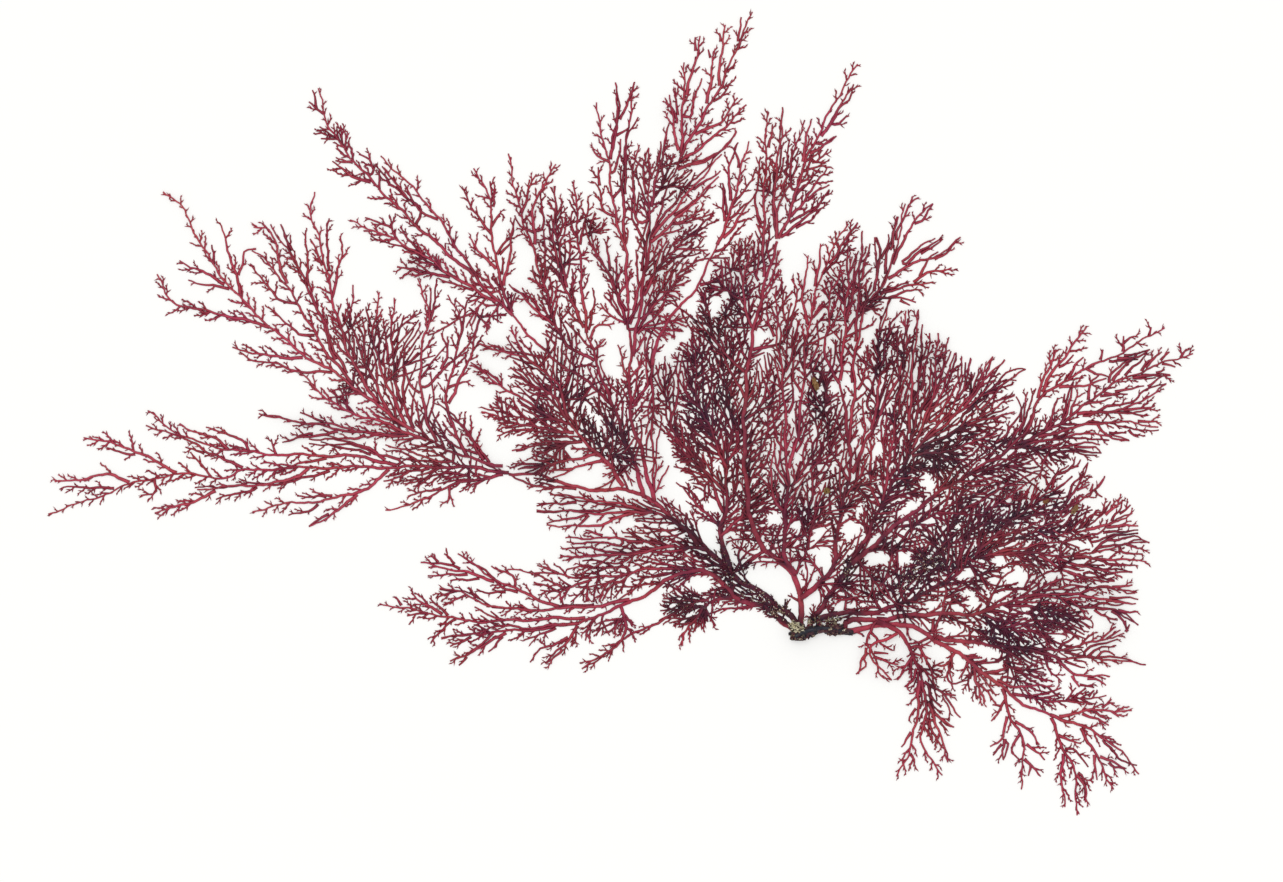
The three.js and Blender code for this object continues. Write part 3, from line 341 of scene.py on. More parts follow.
        "axes": """
        8.3 32.5, 8.7 40, 8.7 46, 10.5 55, 14 60, 15.7 65, 17.4 73; 14.6 61.3, 16.6 65.5, 18.4 69.4, 22.1
        73; 14 60, 18.5 62.6, 23.5 64.6, 26.7 67.2; 17 62, 20.4 65.4, 23.7 67; 12 57.6, 17.5 58.8, 22.2
        59.7; 17.5 58.8, 21 61, 25.3 62.1; 11.6 56.6, 15 57.2, 19.2 56.2; 12 57.6, 12.6 63, 12.2 67.3; 14
        60, 14.4 65, 16 70.8; 6.2 42.4, 3.8 47, 4.4 54, 4.8 60; 6.2 42.4, 7 50, 7.4 58, 8.4 64; 8.7 47, 9.4
        56, 10 68.2; 13 37, 17 46, 17.5 54.8; 11.5 34, 13 42, 13 50, 14.7 56.8; 7.4 26, 4.8 31, 4.2 37
        """,
        "sprays": """
        -0.3 6.2, 1.5 7.3, 3 8.3, 4.5 10.5, 5.3 12, 5.8 13.5, 5.8 16; 3.3 9.7, 2 11.3, 0.8 13, 0.5 14.5; 7
        52, 8 56, 9 60, 9.8 64, 10.1 68.4; 9.5 58, 11.4 66.2; 8 51, 10 54.5, 12.5 57.5, 14 60, 15 63, 15.5
        66; 12 61, 13 64, 12.3 67.3; 12.5 58, 18 59.5; 7.5 32, 7.3 36, 6.8 40, 6.3 43; 8.3 37, 8.5 41, 8.3
        45, 9 49; 10 31, 11.5 34, 13 37, 14.5 40, 16 43, 17.5 46; 6.5 50.5, 9 51, 11 52, 12.5 53.5; 9.3 54,
        10.5 56, 13 58; 12.5 57, 13.3 58.5, 14.2 60, 15 62, 15.6 64.6, 15.8 66.5, 16.1 68.7, 16.7 70, 17.4
        71.3, 17.9 72.6, 19.6 74; 16.5 65, 17 67, 18.3 69.4, 20.4 70.1, 21.2 71.3, 22.1 73; 15.1 60.7, 16.7
        62, 18.3 62.7, 20.1 63.3, 22.8 63.6, 24.7 65, 25.7 66.2, 26.8 67.3; 16.7 63, 18.3 64, 20.4 66.2,
        22.5 67.1; 20 64.5, 22 65.5, 23.8 67; 19.6 60.3, 21.5 61.1, 23.1 61.7, 25.4 62.1; 13.2 58.1, 15.5
        58.5, 17.7 58.7, 20.5 59.4, 22.2 59.6; 14.5 57.5, 17 58, 20.3 58.3; 14 57.3, 16 56.7, 19.1 56.3;
        16.5 56.6, 18.2 55.7; 12 61.5, 12.8 63.5, 13 65.5, 12.5 67.3; 12.2 62.5, 13.5 64, 14.5 66.5, 14.5
        67.8; 14.4 61, 13.8 63.5, 15.3 66, 15.5 69, 16.2 70.8; 16.7 62, 18 63.5, 19.2 64.5; 19.7 60.2, 20.5
        62.3, 21.5 63.6, 23 64.8; 6 18, 4.6 22, 4.4 26.6; 6.6 22, 9 26, 9.8 30.6; 7.4 27, 5.6 30, 5.4 34;
        8.2 31, 6 35, 5.2 39; 9.6 30, 10.4 35, 10.2 40; 8.6 40, 10.6 44, 11 49
        """,
    },
    "right_upper_frond": {
        "stems": """
        1.5 2.3, 4 5.6, 6.8 9.6, 10.6 16, 14 23, 18 30
        """,
        "axes": """
        18 30, 19.6 40, 20.3 52.4; 18 30, 18.4 42, 19.5 54.8; 18 30, 22 40, 22.9 51; 19 32, 24 42, 25.8
        47.6; 18 30, 25 38, 28.6 46.6; 19.4 31.4, 27 38.4, 32.3 47; 24 36, 31 40.6, 37.8 44.8; 27 38, 30.6
        42.6, 34.3 46.4; 19.8 31.4, 28 35.6, 36 40.4; 26 34.6, 31 36.4, 36 37.6; 18 30, 26 31.4, 33 34; 13.4
        22, 15 31, 15.6 38
        """,
        "sprays": """
        3 8.8, 3 6, 2.3 4; 14 34, 15.5 38, 16.5 42, 17 46, 17.3 50, 17.6 52, 17.9 55; 16 36, 17.5 40, 18.3
        44, 18.7 48, 19 51, 19.6 55; 17 36, 19 40, 19.8 44, 20 48, 20.3 52.5; 18.5 38, 20.3 42, 21 46, 21.5
        51; 19 36, 21.5 40, 22.5 44, 22.7 48, 23 51; 20 37, 22.5 41, 24 45, 24 48, 24.8 50.3; 21 36, 23.5
        40, 25 43, 25.5 45, 26 47.7; 22 36, 25 40, 26.5 43, 27 47; 24 37, 26.5 40, 28 43.5, 28.5 46.8; 25
        36, 28 39, 30 42, 30.7 44, 31.5 45, 32.3 47; 27 36.5, 30 40, 32 43, 33 45, 34.3 46.5; 28 37, 31 40,
        33 42.8, 34.5 44.3, 36 44.8, 37.9 44.8; 30 38, 32 40, 34 42, 35 43, 36.3 42.9; 30 37, 32.3 39, 34
        39.7, 36 40.6; 30 35.5, 33 37.5, 35 38.5; 24 34, 28 35, 32 36, 34.7 37.4; 11 38, 12 42, 12.5 46, 13
        50, 13.5 54, 15 57; 11.5 42, 13.5 46, 14.3 50, 15 53, 16.8 54.8; 14.6 24, 13.6 29, 14 34, 14 40;
        16.2 27, 15.6 32, 16 38; 18 30, 21.6 33.6, 25 37; 18 30, 23.6 32.6, 28 36.4, 31.6 40.6; 18.6 30,
        24.6 31.6, 30 34.6; 13 21.6, 11.4 26, 11.6 31, 12.2 36; 15 25, 17.4 29.6, 18 35; 12.6 19.6, 15.4
        24.6, 19.6 29.6
        """,
    },
    "upper_right_frond": {
        "stems": """
        8.2 11.6, 15.5 18, 22 23, 28 27, 34 30.4
        """,
        "axes": """
        34 30.4, 38 34.4, 40 39.4, 45 43.2, 50 45.8, 54.4 47.8, 58.5 50.2, 61.5 51.9; 40 39.6, 42.6 44.6,
        45.8 48.7, 48.2 52; 39.4 38, 41 43.4, 43.1 48.2; 45 43.2, 46.5 45.6, 47.7 46.9; 54.4 47.8, 54.5
        50.5; 52.4 46.8, 55.8 46.6, 58.8 48.1; 43 41.8, 47 42, 51.6 43.3; 36 32, 42 34.6, 47 38, 52 41.9,
        56.5 44, 61.5 46, 66.3 47.5; 52 42, 54.5 45.4, 57.3 47.8; 57.5 44.4, 60.6 47.6; 56 43.7, 62.4 43.9;
        48.5 39.6, 49 42.4, 50.3 43.8; 46 37.2, 51 37.6, 56 38.6, 61.7 42.3; 53 37.6, 59.8 38.6; 50.6 40.8,
        54.8 40.6; 38 32.8, 46 34.9, 53 35.9, 60.4 35; 36 31.6, 44 33.2, 50 33.9, 55.4 32.8; 35.4 31, 43
        31.4, 50.6 30.6; 41 34, 42.6 38, 43.4 40; 43.8 36, 45.5 39.6, 46 42.7; 34 30.4, 37 35.4, 38.2 41; 28
        27, 33 28.3, 40 28.2
        """,
        "sprays": """
        40 39.5, 40.5 41.5, 41.5 43.3, 42.5 44.3, 43.8 46, 44.8 47.5, 45.8 48.7, 46.5 50, 48.2 52.2; 40.3
        41.3, 41 43.5, 41.7 45, 42.7 46.2, 43.1 48.4; 43 45, 44.5 45.8, 46 47.3; 46 44.3, 46.5 45.7, 47.7
        46.9; 42.5 41.5, 45 41.7, 47 42, 49 42.5, 51.8 43.3; 54.3 47.8, 54.5 49.5, 54.6 50.6; 54.5 49.3, 56
        50.3, 57 50.3; 58.8 50.5, 59.2 52; 53 47.1, 55 47.2, 57 47.5, 59 48.2; 51.5 46.3, 53 46.1, 57 46.5;
        50.3 46, 50.8 47, 51 48.2; 48.5 44.5, 50 44, 52 43.5; 48.7 39.5, 48.8 41.5, 49.2 43, 50.3 43.8; 50.3
        40.4, 50.5 42; 52 42, 52.2 43.5, 53.5 45, 55 46.3, 57.3 47.8; 54 43, 55.5 44.5, 57 45.8, 58.5 47.7;
        57.5 44.5, 58.7 46, 61 47.8; 60 45.6, 62.3 47.8; 64 47.5, 65.2 48.3; 61 45.8, 63.3 45.2; 55.5 43.3,
        59.5 43.8, 62.5 43.8; 59.5 44, 61.5 44.8; 56 42.8, 60 43.4; 50.5 40.3, 52 40.3, 54 40.5, 55.2 40.6;
        53 41, 55 41.5, 58 42; 46.5 37, 49 37, 51 37.5, 54 37.6, 56 37.4, 58 37.6, 59.8 38.8; 50 38.3, 52
        38.5, 54 39, 56 39.3, 57 40, 58 41, 59.5 42, 61.8 42.4; 56.5 39.3, 58 39.7, 59.8 40.4; 57 40, 58.5
        41.8, 61 43.6; 56 37.7, 56.4 39; 48 38.5, 52.5 40; 44 35, 47 35.2, 49 36, 52 35.8, 54 35, 56 34.6,
        60.5 34.5; 52 35.8, 54 36, 60.3 36; 57 35.2, 60.8 35; 53 36.8, 58.7 37; 55 35, 56 33.8, 57 33.3; 50
        35, 51 34, 53 33.2, 55.5 32.7; 50.5 34, 55 34; 42 33.5, 46 33.3, 49 32.8, 52 32.8; 40 31.5, 44 31.5,
        47 31.7, 49.5 31.5, 50.7 30.5; 44 32, 47 32.3, 50.5 32; 42 30.2, 45 30.8, 50 30.2; 42 35, 42.5 37,
        43.3 40; 44 36.5, 44.5 38, 45 40, 46 42.8; 45.5 37, 46 39, 46.7 41; 44.5 37, 44.3 39.5, 44.5 40.7;
        35 31, 37 34, 38.2 37, 38.8 40, 39.6 41.6; 34 32, 36 36, 37 38, 36.2 40.2; 36.8 38, 37.5 39.7, 38.3
        39.5; 36 33, 37 36, 37.6 39.2; 37.4 34, 38.6 36.6, 39.6 38; 13 8, 15 13, 16 17.8, 20 19, 25 21.5, 28
        25, 32 28, 35 30, 37.5 32, 40 33; 24 24.6, 28 28.6, 32 31.6, 36 33.4; 22 23, 26 28, 30 31.6, 34 34;
        28 27, 32 28, 36 30, 40 31.6; 30 28.4, 34 32, 37 33.6, 41 34.6
        """,
    },
    "right_frond": {
        "stems": """
        2.9 2.7, 6.4 3.3, 10 3.4, 14 4, 19 6, 24.4 8.8, 29 12.6
        """,
        "axes": """
        29 12.6, 35 15.6, 41 17.2, 47 17.5, 50.5 20, 52.3 22.3; 47 17.5, 51.5 18.2, 56 20.4; 51 19.8, 54.3
        22.6; 50.6 18, 57 18.2; 29 12.6, 36 13.8, 42 13.2, 48.5 13.4, 54 15, 58.9 15.4; 49 13.6, 53 16.6, 57
        16.9; 46 12.9, 52 12.6, 58.4 12.1; 42 13.2, 49 10.9, 56 10.3; 40 13.2, 47 9.6, 53 8.8; 27.5 11.3, 33
        17, 39 21.8, 45.8 26.6; 36 19.4, 43 20.6, 48.6 23.4, 51.3 26.5; 43 20.6, 46 23.6, 48.4 28.8; 39
        21.8, 41.6 24.6, 43.6 28.2; 26 10, 28.6 17.6, 34 22.6, 39.7 26.4; 25 9.2, 24 14, 26 20.4, 31 25
        """,
        "sprays": """
        44 19.5, 45.5 21, 46.3 22, 47 23.3, 48.5 23, 49.5 24, 50.3 24.8, 51 26, 51.3 26.7; 50.3 24.8, 51.6
        25.5; 48.8 23, 48.9 24.5, 49.3 25.4; 50 23.6, 50.9 23.1; 44.5 23, 45.5 24.8, 46.5 25.8, 47.5 26.7,
        48 28, 48.5 29; 45.9 25.7, 48.3 26.2; 46.5 24.3, 48.7 25.3; 42.3 24.5, 42.7 26, 43.5 27, 44.3 27.8,
        45.2 28.5; 42 24.3, 41.2 25.8, 41 27; 42 24.3, 42.7 25.8, 43.3 27, 43.7 28; 43.6 26.8, 44.5 27.5,
        45.7 28.5, 46.3 30; 45.9 27.5, 46.6 28.5, 47.2 29.5; 30 16, 33 18, 36 20, 39 21.8, 42 23.5, 44 24.8,
        45.8 26.7; 25 20, 29 22, 33 24, 36.5 26, 38.5 27, 40.8 27.6; 38 26.6, 39.8 26.9; 38 22, 39.5 23.5;
        36 22.6, 38.5 24; 49 14.2, 50.5 14.5, 52.5 15, 54.5 15.2, 57 15.8, 58.9 15.3; 44 15, 46.5 16, 48.5
        16.8, 50.5 17.2, 52 18.3, 53 19, 54 19.6, 56 20.4; 52 18, 54 18.2, 55.5 18.5, 57.2 18.7; 50.5 17, 53
        17.3, 57 17.5; 52.5 19, 52.8 20, 53.8 21, 54.3 22.7; 53.8 20.3, 55 21, 55.7 21.8; 47.5 17.5, 48 19,
        49 20, 50.5 20, 51.5 21, 52.3 22.4; 48.5 12.5, 50.5 12.3, 53 12.6, 55 12.2, 57 12.5, 58.5 12.1; 50
        11.8, 53 11.7, 57 11.4; 49 15.5, 51.5 16.2, 54 16.7, 57 17; 52 15.5, 54 16, 56.5 16.4, 57.5 16; 55
        14.5, 57.5 14.5, 58 15; 54 13.8, 56 13.3, 57.8 13.4; 49 11.7, 51 11, 54 10.6, 56 10.4; 48 10.3, 50.5
        9.6, 53 8.9; 52 10, 54.7 9.9; 45 10, 47 9.5, 50 9.3, 52 8.6; 15.2 12.8, 16.2 14.3, 17.2 14.8, 18.2
        17.1, 19.7 19.2, 22 21, 24 22.5; 15.7 17.5, 18.2 18.3, 20.3 19.7; 15.6 18.9, 16 21, 17.7 22.5; 30
        9.7, 33.9 11.3, 35.8 12.1, 40 12.3, 43.8 12.1, 48 12.6; 24.3 9.5, 27 12, 30 14, 33 15.3, 37 16.3, 41
        17, 44 18, 46.5 18.7; 27 12, 30 12.8, 33 13.7, 36 14.3, 40 15, 44 15.6, 47 16.3; 20 11.5, 24 14, 27
        16.5, 30 18, 33 19, 37 19.7, 41 20.5, 44 21.5; 18 10, 21 13.5, 24 17, 26 19.5, 28 22, 31 24.5, 34
        26, 37 27.5, 40 28.3; 16 10.5, 16.2 14, 18 17.5, 20.5 19.5, 23 21.5, 26 24, 30 26.5, 34 28.5, 38 30,
        42 30.8, 46 31, 50 30.7; 12 6.4, 14.5 7.2, 16.2 8.2, 17.7 9.3, 20.3 11, 24 12.8; 7.1 3.4, 7.2 5.4,
        7.2 7.4
        """,
    },
    "right_lower_frond": {
        "stems": """
        7.7 2, 14 2.3, 20 3.2, 30 3.4, 36 5.8, 42 6.6
        """,
        "axes": """
        42 6.6, 47.3 6.8, 51 7.8, 56.8 6.9; 52 7.7, 56 8.2; 45.5 6.8, 51 5.6, 56.6 5; 42 6.6, 48 4.4, 53
        3.8, 57 1.4; 51 4, 57 3.6; 34 4.8, 42 3.8, 49.2 0.9; 30 3.4, 36 1.6, 46 0.6; 52.4 3.8, 54.4 2.2,
        55.3 0.3; 31 3.4, 33 8.4, 36 10.8; 38 6.4, 43 8.8, 47.6 8.8
        """,
        "sprays": """
        12 2.5, 18 2.6, 24 2.2, 28 2.5; 32 7.1, 35.2 7.5, 37.4 7.7, 38.7 8.3, 40.6 9.7, 42.4 10.7, 44.8
        12.1, 47.2 12.6; 30 3.9, 32.6 5.1, 35.2 6.5, 37.4 7.7; 42 6, 44 6.5, 47.3 7, 48.5 7.6, 51 7.8, 53.5
        7.6, 55 7, 56.5 6.8; 47.5 6.8, 49 6.3, 51 6, 53 6, 55 6.2, 57 5.7; 50 6, 52 5.2, 54 5.3, 56 4.9;
        52.5 7.8, 54 8.2, 56 8.2; 55 7, 57 6.7; 49 5, 51 5, 53 4.6, 54.5 5; 47 5, 49 4.5, 51 4, 53 3.8, 55
        3.2, 56 2.5, 57 1.3; 55 3.2, 57 3.6; 53 3.8, 54 2.5, 55.2 1.8, 55 0.5; 49.5 4, 51 2.8, 52.5 2.3,
        53.5 2.2; 36 5, 40 6, 43 6.2, 45.5 5.5, 47 4, 48 3, 49.3 2, 49.2 0.8; 38 4.5, 42 4.3, 45 3, 47.3 2,
        48.8 0.7; 34 1, 38 1.8, 42 2, 45 1.5, 46.5 0.5; 36 0.2, 40 0.3, 43 0, 45 -0.5; 21.9 -0.2, 23 2.5, 24
        4.7, 24.5 7, 24.3 9.2, 26 11, 29 13, 32 15; 40 7, 43 7.6, 46 7.4; 38 6, 41 8.4, 44.6 9.8; 31 4, 35
        3.4, 39 3.6, 43 5
        """,
    },
    "lower_right_frond": {
        "stems": """
        9.4 0.4, 12 1.2, 15 1.6, 19 0.8, 22 -0.8, 28.5 -5, 33.5 -9, 37.5 -12, 42 -13.9; 21 -0.3, 28 -1.6, 36
        -2.3
        """,
        "axes": """
        42 -13.9, 46.5 -15.5, 51 -17.7, 55 -21.2, 57.1 -24; 42 -13.9, 44 -19, 46.2 -24, 46.6 -31; 44.3 -20,
        44 -25, 44.5 -29.6; 46 -23.2, 47.8 -26, 48 -28.8; 47 -15.7, 49.4 -20, 52.8 -26.6; 49.5 -20.2, 50
        -25; 50 -20.8, 54.8 -23; 43.4 -17.4, 47.3 -18.8; 35 -10.2, 41 -11.4, 46 -11.4, 51.6 -10.6; 43.5
        -14.2, 49 -13.2, 55.9 -13.2; 47 -13.5, 52 -15.7; 33.9 -9.4, 35 -13.5, 37.4 -18.8, 37.1 -26.6; 34.9
        -13.2, 34 -17.6, 31.8 -19.3; 34.4 -17, 34 -21.4; 37.2 -18.2, 41.1 -21.6; 37.6 -21.4, 40.4 -24.4; 36
        -15, 38.8 -17, 40.2 -19; 29 -5.4, 29.6 -8.4, 31 -11.7; 32 -7.7, 36 -9, 42.8 -9; 30.8 -6.8, 36 -6,
        41.4 -7; 36 -2.3, 44 -4.2, 50 -4.2, 58 -5.4; 39 -3, 46 -2.4, 54.6 0; 42 -3.7, 46 -6.8, 52.2 -7.4; 45
        -6, 47 -9.2; 25.6 -3.6, 24.6 -6, 25.4 -8.4
        """,
        "sprays": """
        22 -0.7, 24 -1, 26 -1.5, 30 -1.8, 36 -2.3, 40 -2.5, 42 -3.5, 44 -4.5; 21.9 -0.5, 19.5 -1.8, 17.5
        -1.8; 8.6 0.2, 9.6 0, 10.4 -0.6; 45 -3, 47 -2.2, 49 -1.5, 51 -0.8, 53 -0.4, 54.7 0, 55.5 1.5; 43 -3,
        44.5 -1.8, 46 -1, 46.5 0.5; 40 -2.3, 42.5 -3, 45 -3.3, 47 -3.7, 49 -4, 51 -4.2, 53 -4.2, 55 -4.5, 57
        -5, 58.3 -5.4; 48 -3, 49.5 -2.3, 51.5 -1.5, 53.5 -1; 48.5 -3.5, 50 -2.8, 53 -2.3; 50 -3.6, 51 -3, 53
        -3.8; 42 -3.5, 43.5 -4.3, 44.5 -5.3, 45 -6.5, 46.5 -6.8, 48.5 -7, 50 -7.3, 52.4 -7.4; 47 -7, 48.5
        -7.8, 50 -8, 51.5 -8.9; 45.5 -6.5, 46.3 -8, 46.8 -9.3; 45.5 -7.5, 47 -8.8, 49.5 -9.3; 44 -4.5, 46
        -5.5, 48 -5.9; 46 -4.5, 48.2 -5; 41 -3.5, 41.7 -5.5, 42.5 -7, 44 -8.3; 44.3 -22, 44 -24, 44 -26,
        44.3 -28, 44.5 -29.6; 46 -23, 47.5 -24.5, 48.1 -26.5, 47.8 -28.5; 49.8 -21, 51 -23, 51.5 -25, 52
        -26, 53 -26.6; 50 -20.5, 52 -22, 53 -23, 55 -23; 50.5 -17.3, 51.5 -19, 53 -20.5, 54 -21.5, 56.8
        -22.5; 48.5 -10.8, 49.5 -9.7; 50 -13.2, 52 -12, 53 -11.9; 49 -13.5, 51 -14.5, 52.5 -14.5; 44.5
        -19.7, 46 -19.8, 47 -20.5, 48 -22, 48.5 -22.8; 35 -14, 34.6 -16, 34 -17.5, 31.7 -19.2; 34.5 -16.5,
        33.8 -19, 32.3 -20.8; 34 -18, 35 -19, 34.5 -20.5, 34 -21.6; 36.5 -17.2, 35.5 -20, 37 -22; 37.6 -22,
        39.5 -23.5, 40.5 -24.5; 38.3 -22.8, 38.3 -24.3; 34.3 -11.5, 33.3 -13, 32 -15; 33.8 -12.5, 32.2
        -12.2; 28.4 -6, 28.3 -8, 28.3 -10; 30 -8, 31.5 -10, 33 -12.3; 29.3 -9, 29.5 -11.3; 33 -8.5, 36 -9,
        38 -9.3, 42.8 -9; 34 -7.5, 36 -8, 39 -8.7; 34 -5, 36 -6, 38.5 -6.5, 41 -6.7; 35 -6, 37.5 -7, 41.5
        -8.3; 34 -4.8, 36 -5, 38 -5.4; 30 -5, 33.5 -4.8, 36 -3.5; 25.8 -4.5, 25 -6, 24.5 -7, 25 -8.3, 26.5
        -8.3, 28 -8; 28 -5, 27.5 -6.5, 26.5 -7.8; 25.7 -3.8, 25 -4.7, 24 -5.5, 22 -5.5
        """,
    },
    "lower_middle_frond": {
        "stems": """
        12.6 2, 15.4 0.6, 18 -2, 20.2 -8
        """,
        "axes": """
        20.2 -8, 20.9 -14, 20.2 -19, 23.7 -24.2; 19.9 -7, 19.5 -13, 18.2 -19.6, 15.9 -24.4; 19 -16, 16.7
        -19.4; 20.5 -10, 22.4 -14.5, 24.6 -21.8; 20.2 -8, 23.7 -10.4, 26.8 -14.4; 22 -13.4, 25.6 -16; 18.6
        -4, 16 -8; 16 0, 11.6 -2.4, 12.4 -5.4, 15 -7.9; 11.6 -2.4, 10.2 -4.4, 9.4 -7; 11.9 -4, 16.2 -5.3
        """,
        "sprays": """
        20.2 -8, 19.8 -10, 19.6 -12, 19.3 -14, 19 -15.5, 18.6 -17, 18.2 -19, 18.2 -20.5, 17.8 -21.8, 17
        -22.5, 15.9 -24.6; 18.2 -20.5, 19 -21.7, 18.8 -22.7; 18.9 -15.5, 17.8 -15.7; 19 -16.5, 17.8 -18,
        16.6 -19.5; 19.8 -12, 18.5 -13.8, 18 -15; 21.5 -9, 21.8 -11, 22.2 -13, 23 -14.5, 24 -15.5, 25.7 -16;
        22 -12.5, 23 -14.8, 24.5 -16.5; 21.5 -15, 22.3 -17, 23.3 -19, 24.2 -20.2, 24.6 -22; 19.5 -2, 20.5
        -4, 21.5 -6, 22.3 -8, 22.8 -9.5, 23.7 -10, 24 -11.5, 24.7 -13, 24.9 -14.8; 24 -11, 25.3 -12, 26
        -13.5, 26.9 -14.5; 23.7 -10.2, 26 -10.6; 24.2 -11, 26 -11.7; 18.5 -2, 18.5 -4, 18.3 -6, 17 -6.6, 16
        -8; 18.3 -5.5, 16.5 -7, 15.8 -8; 19.3 -6, 18.5 -8, 17.5 -9, 18.3 -10; 19.5 -6.5, 19.5 -8.5, 18.8
        -10, 18 -10.3; 19.5 -10, 18.7 -11.8; 15 1, 16.5 0, 17.5 -2; 11.8 1.5, 11.3 0, 11 -1.8, 11.7 -3, 12.3
        -4.5, 12.5 -6, 13 -7, 15.1 -8; 11 -2, 10.4 -3, 10.3 -4.5, 10.8 -5.5, 9 -7; 10.4 -4, 9 -5.2; 12.2 -4,
        13.5 -4.5, 16.3 -5.3; 12 -3.3, 14.5 -3.5; 11.9 0, 12.8 -1, 13.5 -2, 15.3 -3.2, 15.5 -2.3; 12.5 -5.5,
        14 -6.3, 14.8 -7.3
        """,
    },
}

# How pale each frond's membrane is: 0 is the deepest crimson and 1 the palest rose.
FROND_TONES = {
    "far_left_frond": 0.55,
    "left_upper_frond": 0.6,
    "lower_left_frond": 0.4,
    "left_inner_frond": 0.3,
    "left_fan_frond": 0.5,
    "upper_left_frond": 0.6,
    "centre_left_frond": 0.55,
    "tall_frond": 0.6,
    "top_frond": 0.65,
    "inner_left_frond": 0.2,
    "slender_frond": 0.6,
    "middle_frond": 0.5,
    "centre_frond": 0.5,
    "right_centre_frond": 0.5,
    "right_upper_frond": 0.3,
    "upper_right_frond": 0.5,
    "right_frond": 0.45,
    "right_lower_frond": 0.45,
    "lower_right_frond": 0.6,
    "lower_middle_frond": 0.4,
}

# Cross-sections: share of the half width, share of the thickness, and 1 on the crown to 0 at the rim.
STEM_SECTION = ((-1, 0.15, 0), (-0.66, 0.72, 0.6), (-0.16, 0.78, 0.9), (0, 1, 1), (0.16, 0.78, 0.9),
                (0.66, 0.72, 0.6), (1, 0.15, 0), (0.7, 0, 0), (-0.7, 0, 0))
AXIS_SECTION = ((-1, 0.2, 0), (-0.45, 0.85, 0.8), (0, 1, 1), (0.45, 0.85, 0.8), (1, 0.2, 0), (0, 0, 0))
TWIG_SECTION = ((-1, 0, 0), (0, 1, 0.7), (1, 0, 0))
SECTIONS = {"stems": STEM_SECTION, "axes": AXIS_SECTION, "sprays": TWIG_SECTION, "fillers": TWIG_SECTION}

